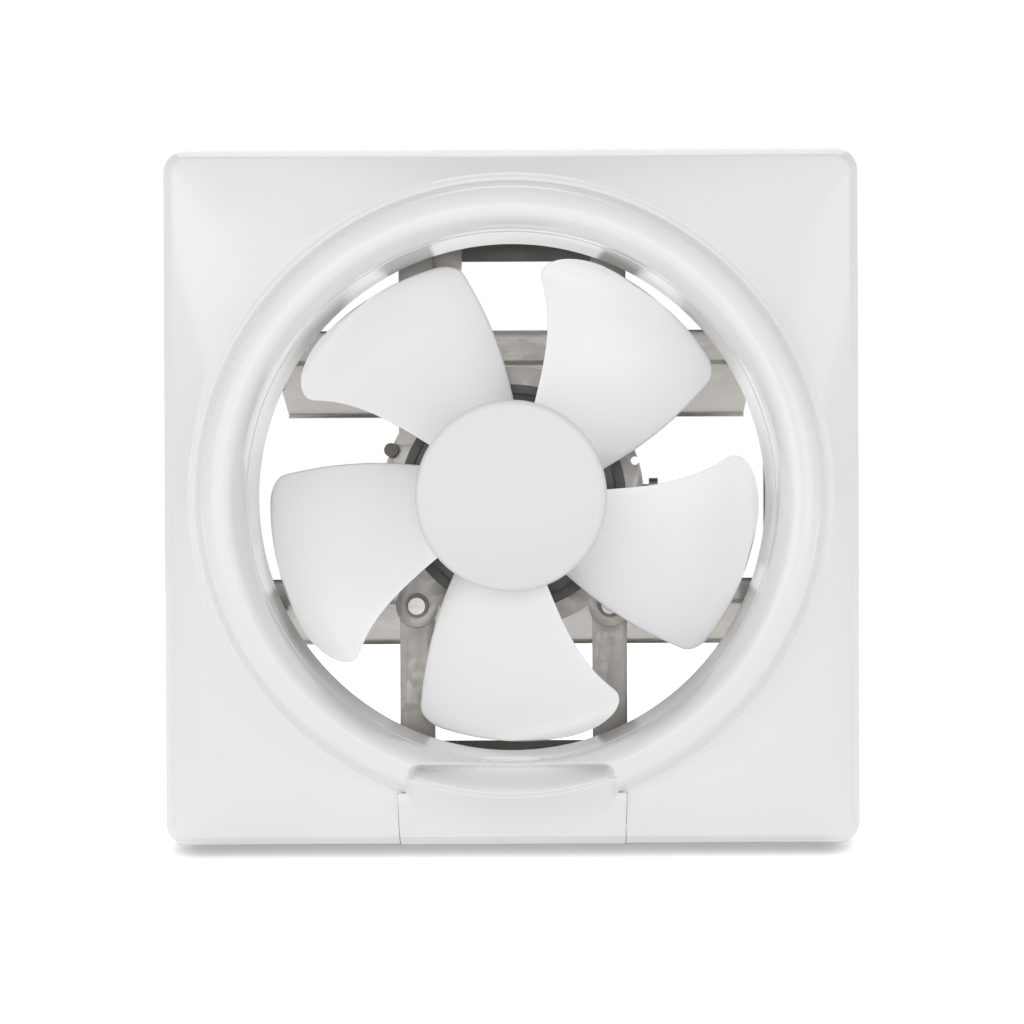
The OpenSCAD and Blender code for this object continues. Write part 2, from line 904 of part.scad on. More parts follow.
cap_x0 = -112;
cap_x1 = -79;
cap_z0 = -18;
cap_z1 = 6;
cap_back_y = 55;
cap_clamp_x = -94;
strip_t = 1.5;
strip_x = 59.3;
strip_z0 = -14;
strip_z1 = 4;
clamp_t = 1;
clamp_half_w = 4;
case_gap = 1;
// Tongue of the clamp, screwed to the strip, and the end that stands above it
tongue_x = -74;
tongue_half_w = 4;
tongue_z0 = -10;
tongue_z1 = 8;
tongue_end_half_w = 2.2;
tongue_end_z = 18.4;

module capacitor_bracket() {
    color("silver")
        box([cap_x0, stay_y, strip_z0], [-strip_x, stay_y + strip_t, strip_z1]);
}

module capacitor() {
    color([0.15, 0.15, 0.16])
        box([cap_x0 + case_gap, stay_y + strip_t, cap_z0], [cap_x1, cap_back_y, cap_z1]);
}

module capacitor_clamp() {
    y0 = stay_y + strip_t;
    y1 = cap_back_y + clamp_t;
    x0 = cap_clamp_x - clamp_half_w;
    x1 = cap_clamp_x + clamp_half_w;
    color("silver")
        union() {
            box([x0, y0, cap_z1], [x1, y1, cap_z1 + clamp_t]);
            box([x0, y0, cap_z0 - clamp_t], [x1, y1, cap_z0]);
            box([x0, cap_back_y, cap_z0 - clamp_t], [x1, y1, cap_z1 + clamp_t]);
            box([tongue_x - tongue_half_w, stay_y - clamp_t, tongue_z0],
                [tongue_x + tongue_half_w, stay_y, tongue_z1]);
            box([tongue_x - tongue_end_half_w, stay_y - clamp_t, tongue_z1],
                [tongue_x + tongue_end_half_w, stay_y, tongue_end_z]);
        }
}

// Terminal box inside the duct's top wall

box_x0 = -57;
box_x1 = -27;
box_y0 = stay_y + stay_depth + 0.4;
box_y1 = 64;
box_z0 = 118.5;
box_wall = 1.2;
box_edge_r = 4;
// Room left for the stay's screw head and foot
foot_room = 9;
foot_gap = 0.2;
foot_room_t = stay_t + stay_head_t + free_gap;
foot_reach = 20;

module terminal_box() {
    inner_z0 = box_z0 + box_edge_r + box_wall;
    foot_y0 = stay_screw_y - foot_reach;
    foot_y1 = stay_screw_y + foot_room;
    color("darkgray")
        difference() {
            union() {
                box([box_x0, box_y0, box_z0 + box_edge_r], [box_x1, box_y1, duct_in]);
                box([box_x0, box_y0, box_z0], [box_x1 - box_edge_r, box_y1, duct_in]);
                translate([box_x1 - box_edge_r, 0, box_z0 + box_edge_r])
                    bar_y(box_edge_r, box_y0, box_y1);
            }
            box([box_x0 + box_wall, box_y0 + box_wall, inner_z0],
                [box_x1 - box_wall, box_y1 + past, duct_in - box_wall]);
            translate([gland_x, gland_y, 0])
                bar_z(gland_hole_r, duct_in - 2 * box_wall, duct_in + past);
            translate([lead_x, lead_box_y, 0])
                bar_z(lead_r, box_z0 - past, inner_z0 + past, 24);
            box([-stay_x - over, foot_y0, duct_in - stay_t], [box_x1, foot_y1, duct_in + past]);
            box([box_x0 - past, foot_y0, duct_in - foot_room_t],
                [-stay_x + foot_room + foot_gap, foot_y1 + foot_gap, duct_in + past]);
        }
}

module terminal_cover() {
    color("darkgray")
        box([box_x0, box_y1, box_z0 + box_edge_r - past], [box_x1, box_y1 + box_wall, duct_in]);
}

gland_nut_r = 8;
gland_nut_t = 2.6;
gland_end = 5.5;

module cable_gland() {
    color([0.15, 0.15, 0.15])
        translate([gland_x, gland_y, 0])
            difference() {
                union() {
                    bar_z(gland_nut_r, duct_half, duct_half + gland_nut_t);
                    bar_z(gland_hole_r, duct_in - box_wall, duct_half + gland_end);
                }
                bar_z(gland_bore_r, duct_in - over, duct_half + gland_end + over);
            }
}

// The lead's corners, from the motor up beside the left stay and into the terminal box
lead_x = -38.3;
lead_inner_x = -30;
lead_gap = 0.2;
lead_turn_z = 111;
lead_box_y = 52;
lead_points = [
    [lead_inner_x, lead_y, lead_z], [lead_x, lead_y, lead_z], [lead_x, lead_y, lead_turn_z],
    [lead_x, lead_box_y, lead_turn_z], [lead_x, lead_box_y, box_z0 + box_edge_r + 2]
];

// A round bar from point p to point q
module bar_between(p, q, r) {
    d = q - p;
    translate(p)
        rotate([0, acos(d[2] / norm(d)), atan2(d[1], d[0])])
            cylinder(r = r, h = norm(d), $fn = 24);
}

module motor_lead() {
    color([0.9, 0.9, 0.88])
        union() {
            for (i = [1 : len(lead_points) - 1])
                bar_between(lead_points[i - 1], lead_points[i], lead_r);
            for (i = [1 : len(lead_points) - 2])
                translate(lead_points[i])
                    sphere(r = lead_r, $fn = 24);
        }
}

lead_clip_z = [50, 95];
lead_clip_half = 3;
lead_clip_wall = 0.7;

module lead_clips() {
    edge_x = -stay_x + stay_w / 2;
    half_y = lead_r + lead_clip_wall;
    color("white")
        for (z = lead_clip_z)
            difference() {
                box([edge_x, lead_y - half_y, z - lead_clip_half],
                    [lead_x + lead_clip_half, lead_y + half_y, z + lead_clip_half]);
                translate([lead_x, lead_y, 0])
                    bar_z(lead_r, z - over, z + over, 24);
            }
}

earth_head_r = 3.6;
earth_head_t = 3;
earth_nut_t = 2.4;
earth_end = 4;

module earth_screw() {
    back = plate_y + plate_t;
    color([0.25, 0.22, 0.2])
        translate([earth_x, 0, earth_z])
            union() {
                bar_y(earth_head_r, plate_y - earth_head_t, plate_y);
                bar_y(earth_r, plate_y, back + earth_end, SMALL_ROUND);
                bar_y(earth_head_r, back, back + earth_nut_t, 6);
            }
}

// Louvres, drawn shut in the frame of their own pivot

arm = 68;
sheet_y = 6;
joggle = 4;
// Where the joggle begins and ends, short of the sheet's edge
joggle_start = 13;
joggle_end = 9;
joggle_miter = 0.4;
lip = 2.7;
tab_t = 1;
link_dy = -16.2;
link_dz = 11.8;
bush_r = 4;
rod_dy = -0.49;
rod_dz = -13.99;
rod_x = 61.6;
link_pin_r = 1.5;
// Outline of an end tab, and of the one that carries the link pin
short_tab = [[sheet_y, 10], [sheet_y, -9], [-5, -9], [-8, -4], [-8, 6], [-4, 10]];
link_tab = [[sheet_y, 10], [sheet_y, -9], [-5, -9], [-21, 6], [-21, 17], [-12, 18]];
// Lug for the push rod
lug_x0 = rod_x + 2;
lug_t = 2;
lug_edge = 4;
lug_end = 5;

module shut_louvre() {
    y0 = sheet_y - louvre_t / 2;
    y1 = sheet_y + louvre_t / 2;
    start = arm - joggle_start;
    end = arm - joggle_end;
    drawn_x([
        [y1, -arm], [y1, start], [y1 - joggle, end], [y1 - joggle, arm],
        [y0 - joggle, arm], [y0 - joggle, end - joggle_miter], [y0, start - joggle_miter],
        [y0, -arm + louvre_t], [y0 - lip + louvre_t, -arm + louvre_t], [y0 - lip + louvre_t, -arm]
    ], -louvre_half_w, louvre_half_w);
}

module louvre_tab(side, long) {
    x0 = side > 0 ? louvre_half_w - tab_t : -louvre_half_w;
    difference() {
        drawn_x(long ? link_tab : short_tab, x0, x0 + tab_t);
        bar_x(bush_r, x0 - past, x0 + tab_t + past);
        if (long)
            translate([0, link_dy, link_dz])
                bar_x(link_pin_r, x0 - past, x0 + tab_t + past);
    }
}

module louvre(with_lug) {
    lug_y = rod_dy - lug_edge;
    difference() {
        union() {
            shut_louvre();
            louvre_tab(1, true);
            louvre_tab(-1, false);
            if (with_lug)
                drawn_x([
                    [sheet_y, rod_dz + lug_end + lug_edge], [sheet_y, rod_dz - lug_end - lug_edge + past],
                    [lug_y, rod_dz - lug_end], [lug_y, rod_dz + lug_end]
                ], lug_x0, lug_x0 + lug_t);
        }
        if (with_lug)
            translate([0, rod_dy, rod_dz])
                bar_x(link_pin_r, lug_x0 - past, lug_x0 + lug_t + past);
    }
}

module open_at(z) {
    translate([0, pivot_y, z])
        rotate([open_angle, 0, 0])
            children();
}

module louvre_upper() {
    color("silver")
        open_at(pivot_z)
            louvre(true);
}

module louvre_lower() {
    color("silver")
        open_at(-pivot_z)
            louvre(false);
}

bush_in = 2.4;
bush_out = 1.6;
bush_collar_r = 5.4;

module louvre_bushes() {
    edge = louvre_half_w;
    color("white")
        for (sx = [-1, 1])
            difference() {
                union() {
                    bar_x(bush_r, sx > 0 ? edge - bush_in : -edge - bush_out,
                          sx > 0 ? edge + bush_out : -edge + bush_in);
                    bar_x(bush_collar_r, sx > 0 ? edge : -edge - bush_out, sx > 0 ? edge + bush_out : -edge);
                }
                bar_x(pin_r + run_gap, sx * edge - over, sx * edge + over);
            }
}

module louvre_bushes_upper() {
    open_at(pivot_z)
        louvre_bushes();
}

module louvre_bushes_lower() {
    open_at(-pivot_z)
        louvre_bushes();
}

link_gap = 4.5;
link_t = 1.6;
link_x0 = louvre_half_w + link_gap;
link_x1 = link_x0 + link_t;

link_collar_r = 2.6;
link_head_r = 2.8;
link_head_t = 1.6;
side_play = 0.2;

// Link pin with a head each side of the link bar
module link_pin() {
    head_x = link_x1 + side_play;
    color("silver")
        translate([0, link_dy, link_dz])
            union() {
                bar_x(link_pin_r, louvre_half_w - tab_t, head_x + link_head_t);
                bar_x(link_collar_r, louvre_half_w, link_x0 - side_play);
                bar_x(link_head_r, head_x, head_x + link_head_t);
            }
}

module link_pin_upper() {
    open_at(pivot_z)
        link_pin();
}

module link_pin_lower() {
    open_at(-pivot_z)
        link_pin();
}

link_rest_y = pivot_y + link_dy * cos(open_angle) - link_dz * sin(open_angle);
link_rest_dz = link_dy * sin(open_angle) + link_dz * cos(open_angle);
link_half_w = 3;
link_eye_r = 4;

module link_bar() {
    top_z = pivot_z + link_rest_dz;
    bottom_z = -pivot_z + link_rest_dz;
    color("silver")
        difference() {
            union() {
                box([link_x0, link_rest_y - link_half_w, bottom_z],
                    [link_x1, link_rest_y + link_half_w, top_z]);
                for (z = [bottom_z, top_z])
                    translate([0, link_rest_y, z])
                        bar_x(link_eye_r, link_x0, link_x1);
            }
            translate([0, link_rest_y, top_z])
                bar_x(link_pin_r + run_gap, link_x0 - past, link_x1 + past);
            translate([0, link_rest_y, bottom_z])
                bar_x(link_pin_r + free_gap, link_x0 - past, link_x1 + past);
        }
}

// Actuator that swings the upper louvre through a crank and a push rod

act_y = 46;
act_z = 5;
act_shaft_r = 2;
act_x0 = 92;
act_x1 = 114;
act_low_z = -30;
act_strip_h = 18;
act_back_y = 51;
act_top_gap = 2.5;
// Snout of the housing round the shaft, with a blind bore
snout_r = 4.5;
snout_l = 8;
snout_bore = 6;
shaft_in = 5.5;
collar_r = 5.2;
collar_x0 = 71;
collar_x1 = 75.5;
rod_rest_dy = rod_dy * cos(open_angle) - rod_dz * sin(open_angle);
rod_rest_dz = rod_dy * sin(open_angle) + rod_dz * cos(open_angle);
rod_t = 1.5;
rod_x0 = rod_x - rod_t / 2;
rod_x1 = rod_x + rod_t / 2;
crank_gap = 0.4;
crank_x0 = rod_x1 + crank_gap;
crank_t = 2;
crank_x1 = crank_x0 + crank_t;
crank_hub_r = 5;
crank_half_w = 3.4;
crank_lap = 0.1;
rod_head_t = 1.2;
rod_head_x = rod_x0 - side_play - rod_head_t;

module actuator_bracket() {
    color("silver")
        box([strip_x, stay_y, act_low_z], [act_x1, stay_y + strip_t, act_low_z + act_strip_h]);
}

module actuator_body() {
    color([0.85, 0.85, 0.83])
        difference() {
            union() {
                box([act_x0, stay_y + strip_t, act_low_z], [act_x1, act_back_y, act_z - act_top_gap]);
                translate([0, act_y, act_z])
                    bar_x(snout_r, act_x0, act_x0 + snout_l);
            }
            translate([0, act_y, act_z])
                bar_x(act_shaft_r + run_gap, act_x0 - past, act_x0 + snout_bore);
        }
}

module actuator_shaft() {
    color("dimgray")
        translate([0, act_y, act_z])
            union() {
                bar_x(act_shaft_r, crank_x0, act_x0 + shaft_in);
                bar_x(collar_r, collar_x0, collar_x1);
            }
}

module crank() {
    color("silver")
        difference() {
            union() {
                translate([0, act_y, act_z])
                    bar_x(crank_hub_r, crank_x0, crank_x1);
                translate([0, act_y + rod_rest_dy, act_z + rod_rest_dz])
                    union() {
                        bar_x(link_eye_r, crank_x0, crank_x1);
                        bar_x(link_pin_r, rod_head_x, crank_x0 + crank_lap);
                        bar_x(link_collar_r, rod_head_x, rod_x0 - side_play);
                    }
                translate([0, act_y, act_z])
                    rotate([atan2(rod_rest_dz, rod_rest_dy), 0, 0])
                        box([crank_x0, 0, -crank_half_w],
                            [crank_x1, norm([rod_rest_dy, rod_rest_dz]), crank_half_w]);
            }
            translate([0, act_y, act_z])
                bar_x(act_shaft_r, crank_x0 - past, crank_x1 + past);
        }
}

rod_y0 = act_y + rod_rest_dy;
rod_z0 = act_z + rod_rest_dz;
rod_y1 = pivot_y + rod_rest_dy;
rod_z1 = pivot_z + rod_rest_dz;
rod_len = norm([rod_y1 - rod_y0, rod_z1 - rod_z0]);
rod_half_w = 2.4;

module push_rod() {
    color("silver")
        translate([0, rod_y0, rod_z0])
            rotate([atan2(rod_z1 - rod_z0, rod_y1 - rod_y0), 0, 0])
                difference() {
                    union() {
                        box([rod_x0, 0, -rod_half_w], [rod_x1, rod_len, rod_half_w]);
                        bar_x(link_eye_r, rod_x0, rod_x1);
                        translate([0, rod_len, 0])
                            bar_x(link_eye_r, rod_x0, rod_x1);
                    }
                    bar_x(link_pin_r + run_gap, rod_x0 - past, rod_x1 + past);
                    translate([0, rod_len, 0])
                        bar_x(link_pin_r + free_gap, rod_x0 - past, rod_x1 + past);
                }
}

module push_rod_pin() {
    color("silver")
        open_at(pivot_z)
            translate([0, rod_dy, rod_dz])
                union() {
                    bar_x(link_pin_r, rod_head_x, lug_x0 + lug_t);
                    bar_x(link_collar_r, rod_head_x, rod_x0 - side_play);
                    bar_x(link_collar_r, rod_x1 + side_play, lug_x0);
                }
}

front_panel();
bell_mouth();
grip_tab();
panel_clips();
duct_frame();
rear_rail_top();
rear_rail_bottom();
side_bracket(-1);  // side_bracket_left
side_bracket(1);  // side_bracket_right
pivot_pins();
pivot_clips();
stay(-1);  // stay_left
stay(1);  // stay_right
stay_screws();
motor_plate();
plate_grommets();
plate_screws();
motor_front_shell();
motor_rear_shell();
motor_bolts();
stator_core();
stator_windings();
front_bearing();
rear_bearing();
motor_shaft();
rotor();
drive_pin();
impeller();
impeller_nut();
hub_cap();
capacitor_bracket();
capacitor();
capacitor_clamp();
terminal_box();
terminal_cover();
cable_gland();
motor_lead();
lead_clips();
earth_screw();
louvre_upper();
louvre_lower();
louvre_bushes_upper();
louvre_bushes_lower();
push_rod_pin();
link_pin_upper();
link_pin_lower();
link_bar();
actuator_bracket();
actuator_body();
actuator_shaft();
crank();
push_rod();
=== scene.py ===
"""Looks of a wall exhaust fan: white panel, five-bladed impeller and zinc-coated steel behind."""

import itertools
import json
import math

import bmesh
import bpy
from bpy.props import FloatProperty, FloatVectorProperty, IntProperty, PointerProperty
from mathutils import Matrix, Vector


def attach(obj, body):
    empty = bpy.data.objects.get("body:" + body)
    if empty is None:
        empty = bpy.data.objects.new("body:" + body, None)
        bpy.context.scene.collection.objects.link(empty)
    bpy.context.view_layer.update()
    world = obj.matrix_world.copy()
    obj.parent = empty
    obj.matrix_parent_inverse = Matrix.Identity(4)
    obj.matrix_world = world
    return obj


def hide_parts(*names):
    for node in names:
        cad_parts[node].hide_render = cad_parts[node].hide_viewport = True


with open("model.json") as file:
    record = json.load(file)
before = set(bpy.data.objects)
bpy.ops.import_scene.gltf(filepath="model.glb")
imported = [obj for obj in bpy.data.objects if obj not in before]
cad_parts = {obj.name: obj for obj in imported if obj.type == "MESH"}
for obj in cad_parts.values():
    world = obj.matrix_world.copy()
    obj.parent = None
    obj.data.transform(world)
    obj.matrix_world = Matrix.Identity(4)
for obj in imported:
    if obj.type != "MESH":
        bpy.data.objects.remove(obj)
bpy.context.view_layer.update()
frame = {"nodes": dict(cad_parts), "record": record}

bl_info = {
    "name": "Wall exhaust fan",
    "version": (1, 0, 0),
    "blender": (4, 5, 0),
    "location": "View3D > Sidebar > Exhaust fan",
    "description": "Builds the panel, impeller, motor, duct and louvres of a wall exhaust fan",
    "category": "Object",
}

MM = 0.001
IMAGE_SIZE = 1024


# Sizes and colours


class ExhaustFanSettings(bpy.types.PropertyGroup):
    """Sizes and colours of the fan's visible surfaces."""

    panel_columns: IntProperty(
        name="Panel columns", description="Mesh columns along each side of the panel",
        default=64, min=8,
    )
    blade_rows: IntProperty(
        name="Blade rows", description="Mesh rows from the hub to the tip of a blade",
        default=44, min=8,
    )
    plastic_colour: FloatVectorProperty(
        name="Plastic colour", description="White of the moulded panel", subtype="COLOR", size=3,
        default=(0.84, 0.838, 0.845),
    )
    # Brighter than the panel's white: the impeller's own white with painted light, making up for
    # the shade inside the bell
    blade_colour_with_painted_light: FloatVectorProperty(
        name="Blade colour", description="White of the impeller", subtype="COLOR", size=3,
        default=(0.91, 0.908, 0.915),
    )
    zinc_colour: FloatVectorProperty(
        name="Zinc colour", description="Grey of the zinc-coated sheet", subtype="COLOR", size=3,
        default=(0.45, 0.433, 0.405),
    )
    motor_colour: FloatVectorProperty(
        name="Motor colour", description="Dark paint on the motor shells", subtype="COLOR", size=3,
        default=(0.075, 0.075, 0.073),
    )
    lamp_power: FloatProperty(
        name="Lamp power", description="Watts that each lamp gives its own share of",
        default=3.85, unit="POWER",
    )
    room_light: FloatProperty(
        name="Room light", description="Strength of the even light from all round",
        default=0.55, min=0.0,
    )
    floor_light: FloatProperty(
        name="Floor light", description="Strength of the light that the white floor throws up",
        default=0.42, min=0.0,
    )


def settings():
    return bpy.context.scene.exhaust_fan


# Shader maths written as expressions


class Value:
    """A socket that takes part in Python arithmetic by adding Math nodes."""

    def __init__(self, shader, socket):
        self.shader = shader
        self.socket = socket

    def _math(self, operation, a, b):
        return self.shader.node("ShaderNodeMath", {"operation": operation}, {0: a, 1: b})

    def __add__(self, other):
        return self._math("ADD", self, other)

    __radd__ = __add__

    def __sub__(self, other):
        return self._math("SUBTRACT", self, other)

    def __rsub__(self, other):
        return self._math("SUBTRACT", other, self)

    def __mul__(self, other):
        return self._math("MULTIPLY", self, other)

    __rmul__ = __mul__

    def between(self, low, high):
        """0 below low, 1 above high, smooth between."""
        return self.shader.node("ShaderNodeMapRange", {"interpolation_type": "SMOOTHSTEP"},
                                {0: self, 1: low, 2: high})


class Shader:
    """A material whose nodes are added through one method."""

    def __init__(self, name):
        self.material = bpy.data.materials.new(name)
        self.material.use_nodes = True
        self.tree = self.material.node_tree
        self.tree.nodes.clear()
        self.output = self.tree.nodes.new("ShaderNodeOutputMaterial")

    def node(self, kind, attributes=None, inputs=None, out=0):
        """Adds a node, sets its attributes, feeds its inputs and returns one of its outputs."""
        node = self.tree.nodes.new(kind)
        for key, value in (attributes or {}).items():
            setattr(node, key, value)
        for key, value in (inputs or {}).items():
            self.feed(node.inputs[key], value)
        return Value(self, node.outputs[out])

    def feed(self, socket, value):
        """Links a Value to the socket, or sets a plain number or colour there."""
        if isinstance(value, Value):
            self.tree.links.new(value.socket, socket)
        elif isinstance(value, (tuple, list)) and len(value) == 3 and socket.type == "RGBA":
            socket.default_value = (*value, 1.0)
        else:
            socket.default_value = value

    def place(self):
        """The shaded point in the object's own frame, in metres."""
        return self.node("ShaderNodeTexCoord", None, None, "Object")

    def light_path(self, kind):
        return self.node("ShaderNodeLightPath", None, None, kind)

    def vector(self, operation, *values, out=0):
        """A Vector Math node over the given values."""
        return self.node("ShaderNodeVectorMath", {"operation": operation},
                         dict(enumerate(values)), out)

    def noise(self, scale, detail=2.0, where=None, stretch=(1.0, 1.0, 1.0), out=0):
        mapped = self.node("ShaderNodeMapping", None, {0: where or self.place(), 3: stretch})
        inputs = {"Vector": mapped, "Scale": scale, "Detail": detail}
        return self.node("ShaderNodeTexNoise", None, inputs, out)

    def mix(self, factor, a, b):
        mix = self.tree.nodes.new("ShaderNodeMix")
        mix.data_type = "RGBA"
        for name, value in (("Factor_Float", factor), ("A_Color", a), ("B_Color", b)):
            socket = next(s for s in mix.inputs if s.identifier == name)
            self.feed(socket, value)
        return Value(self, next(s for s in mix.outputs if s.identifier == "Result_Color"))

    def bump(self, height, strength, distance):
        inputs = {"Height": height, "Strength": strength, "Distance": distance}
        return self.node("ShaderNodeBump", None, inputs)

    def surface(self, **inputs):
        """A Principled surface; an underscore in an input's name stands for its space."""
        shader = self.tree.nodes.new("ShaderNodeBsdfPrincipled")
        for key, value in inputs.items():
            self.feed(shader.inputs[key.replace("_", " ")], value)
        self.tree.links.new(shader.outputs[0], self.output.inputs[0])
        return self.material


def shade(colour, factor):
    return tuple(min(1.0, c * factor) for c in colour)


# Materials; texture scales are per metre, and bump distances in metres


def moulded_plastic(name, colour, roughness):
    """Moulded plastic: a faint satin grain, and tone that drifts a little over the moulding."""
    s = Shader(name)
    drift = s.noise(9.0, 2.0)
    grain = s.noise(2600.0, 2.0)
    flow = s.noise(38.0, 3.0)
    tone = s.mix(drift.between(0.35, 0.7), shade(colour, 0.985), shade(colour, 1.012))
    rough = roughness + 0.05 * (flow - 0.5) + 0.05 * (grain - 0.5)
    return s.surface(Base_Color=tone, Roughness=rough, IOR=1.49,
                     Normal=s.bump(grain, 0.12, 0.00006))


def zinc_sheet(name, colour, roughness=0.46, spangle=210.0):
    """Zinc-coated sheet: crystal spangle in tone and gloss, rolling streaks and dull patches."""
    s = Shader(name)
    where = s.place()
    warp = s.noise(60.0, 2.0, where, out=1)
    bent = s.vector("MULTIPLY_ADD", warp, (0.004, 0.004, 0.004), where)
    crystal = s.node("ShaderNodeTexVoronoi", {"feature": "F1"},
                     {"Vector": bent, "Scale": spangle}, "Color")
    face = s.node("ShaderNodeSeparateColor", None, {0: crystal})
    streak = s.noise(150.0, 3.0, where, (0.05, 1.0, 6.0))
    patch = s.noise(14.0, 4.0, where)
    light = s.mix(face, shade(colour, 0.93), shade(colour, 1.08))
    worn = s.mix(patch.between(0.45, 0.75) * 0.5, light, shade(colour, 0.88))
    rough = roughness + 0.16 * (face - 0.5) + 0.08 * (streak - 0.5) + 0.08 * (patch - 0.5)
    height = 0.6 * face + 0.4 * streak
    return s.surface(Base_Color=worn, Metallic=0.55, Roughness=rough,
                     Normal=s.bump(height, 0.12, 0.0001))


def plated_steel(name, colour, roughness=0.32):
    """Turned and plated steel of screws, pins and shafts."""
    s = Shader(name)
    fine = s.noise(900.0, 3.0)
    cloud = s.noise(120.0, 2.0)
    tone = s.mix(cloud, shade(colour, 0.85), shade(colour, 1.1))
    rough = roughness + 0.14 * (fine - 0.5)
    return s.surface(Base_Color=tone, Metallic=1.0, Roughness=rough,
                     Normal=s.bump(fine, 0.15, 0.00005))


def painted_metal(name, colour, roughness=0.34):
    """Sprayed dark paint with a fine orange-peel surface and duller dusty patches."""
    s = Shader(name)
    peel = s.noise(1100.0, 2.0)
    dust = s.noise(45.0, 4.0)
    tone = s.mix(dust.between(0.4, 0.8), colour, tuple(c * 1.5 + 0.006 for c in colour))
    rough = roughness + 0.12 * (dust - 0.5)
    return s.surface(Base_Color=tone, Metallic=0.35, Roughness=rough, IOR=1.5,
                     Normal=s.bump(peel, 0.22, 0.00008))


def rubber(name, colour):
    """Dull rubber or soft sheath with a fine grain and cloudy tone."""
    s = Shader(name)
    grain = s.noise(1500.0, 3.0)
    cloud = s.noise(80.0, 3.0)
    tone = s.mix(cloud, colour, shade(colour, 1.6))
    rough = 0.68 + 0.1 * (cloud - 0.5)
    return s.surface(Base_Color=tone, Roughness=rough, Normal=s.bump(grain, 0.2, 0.00008))


def wound_copper(name, colour):
    """Enamelled wire, wound round the fan axis, with the ridges of its turns and painted shade
    between them.
    """
    s = Shader(name)
    turns = s.node("ShaderNodeTexWave", {"wave_type": "RINGS", "rings_direction": "Y"},
                   {"Vector": s.place(), "Scale": 420.0, "Distortion": 0.6})
    # Painted shade in the grooves between turns, and painted highlight on their tops
    tone = s.mix(turns, shade(colour, 0.45), shade(colour, 1.15))
    return s.surface(Base_Color=tone, Metallic=0.7, Roughness=0.3 + 0.1 * turns,
                     Normal=s.bump(turns, 0.6, 0.0003))


def stacked_core(name, colour):
    """Stacked core plates, seen as fine lines along the fan axis."""
    s = Shader(name)
    plates = s.node("ShaderNodeTexWave", {"wave_type": "BANDS", "bands_direction": "Y"},
                    {"Vector": s.place(), "Scale": 320.0, "Distortion": 0.3})
    tone = s.mix(plates, shade(colour, 0.6), shade(colour, 1.15))
    return s.surface(Base_Color=tone, Metallic=0.8, Roughness=0.5 + 0.1 * plates,
                     Normal=s.bump(plates, 0.5, 0.0002))


MATERIALS = {}


def make_materials():
    """Makes every finish once, under the short name that the pieces ask for."""
    p = settings()
    white = tuple(p.plastic_colour)
    blade = tuple(p.blade_colour_with_painted_light)
    zinc = tuple(p.zinc_colour)
    MATERIALS.update({
        "panel": moulded_plastic("panel_plastic", white, 0.18),
        # The impeller's white carries painted light against the shade inside the bell
        "impeller": moulded_plastic("impeller_plastic_with_painted_light", blade, 0.22),
        # Painted shade: the hub cover takes a darker copy of the impeller's white
        "hub": moulded_plastic("hub_plastic_painted_shade", shade(blade, 0.82), 0.2),
        "nylon": moulded_plastic("bush_nylon", (0.76, 0.75, 0.70), 0.42),
        "zinc": zinc_sheet("zinc_coated_sheet", zinc),
        "louvre": zinc_sheet("louvre_sheet", zinc, 0.42, 160.0),
        # Painted shade: the rails take a darker copy of the zinc sheet, for the shade at the back
        # of the duct
        "rail": zinc_sheet("rail_sheet_painted_shade", shade(zinc, 0.62), 0.52, 180.0),
        "plate": zinc_sheet("motor_plate_sheet", zinc, 0.4, 190.0),
        "screw": plated_steel("plated_screws", (0.46, 0.455, 0.43)),
        "dark_screw": plated_steel("dark_screws", (0.10, 0.095, 0.09), 0.42),
        "motor": painted_metal("motor_paint", tuple(p.motor_colour)),
        "case": painted_metal("capacitor_case", (0.045, 0.046, 0.05), 0.5),
        "light_case": moulded_plastic("actuator_plastic", (0.62, 0.61, 0.57), 0.45),
        "rubber": rubber("gland_rubber", (0.028, 0.028, 0.028)),
        "grommet": rubber("grommet_rubber", (0.31, 0.30, 0.285)),
        "sheath": rubber("lead_sheath", (0.60, 0.60, 0.575)),
        "copper": wound_copper("enamelled_wire", (0.55, 0.24, 0.10)),
        "core": stacked_core("core_plates", (0.20, 0.19, 0.18)),
    })


# Mesh helpers; sizes from here on are in millimetres, and objects are made in metres

# Points of a made mesh, and of a solid's own mesh, closer than this in metres become one
WELD_M = 1e-6
SOLID_WELD_M = 2e-6
# Faces of a solid that meet at less than this are one flat face
FLAT_ANGLE = math.radians(1.0)
EASE_SEGMENTS = 2
# Degrees above which an edge is eased, and above which it stays sharp in the shading
EASE_ANGLE = 30
TURNED_SHARP = 35
PANEL_SHARP = 32
RECESS_SHARP = 38
TAB_SHARP = 20
BLADE_SHARP = 50


def as_object(name, verts, faces, material, smooth_angle=None):
    """A closed mesh object at the origin from points in millimetres."""
    mesh = bpy.data.meshes.new(name)
    mesh.from_pydata([tuple(c * MM for c in v) for v in verts], [], [tuple(f) for f in faces])
    bm = bmesh.new()
    bm.from_mesh(mesh)
    bmesh.ops.remove_doubles(bm, verts=bm.verts, dist=WELD_M)
    bmesh.ops.recalc_face_normals(bm, faces=bm.faces)
    bm.to_mesh(mesh)
    bm.free()
    obj = bpy.data.objects.new(name, mesh)
    bpy.context.scene.collection.objects.link(obj)
    mesh.materials.append(MATERIALS[material])
    if smooth_angle is not None:
        smooth(obj, smooth_angle)
    return obj


def smooth(obj, degrees):
    """Shades an object smooth but for the edges that bend more than the given degrees."""
    mesh = obj.data
    mesh.shade_smooth()
    mesh.set_sharp_from_angle(angle=math.radians(degrees))


def apply_modifiers(obj):
    """Puts the mesh's evaluated form in its place and drops the modifiers."""
    graph = bpy.context.evaluated_depsgraph_get()
    made = bpy.data.meshes.new_from_object(obj.evaluated_get(graph))
    old = obj.data
    obj.modifiers.clear()
    obj.data = made
    made.name = obj.name
    bpy.data.meshes.remove(old)


def remove_object(obj):
    mesh = obj.data
    bpy.data.objects.remove(obj)
    bpy.data.meshes.remove(mesh)


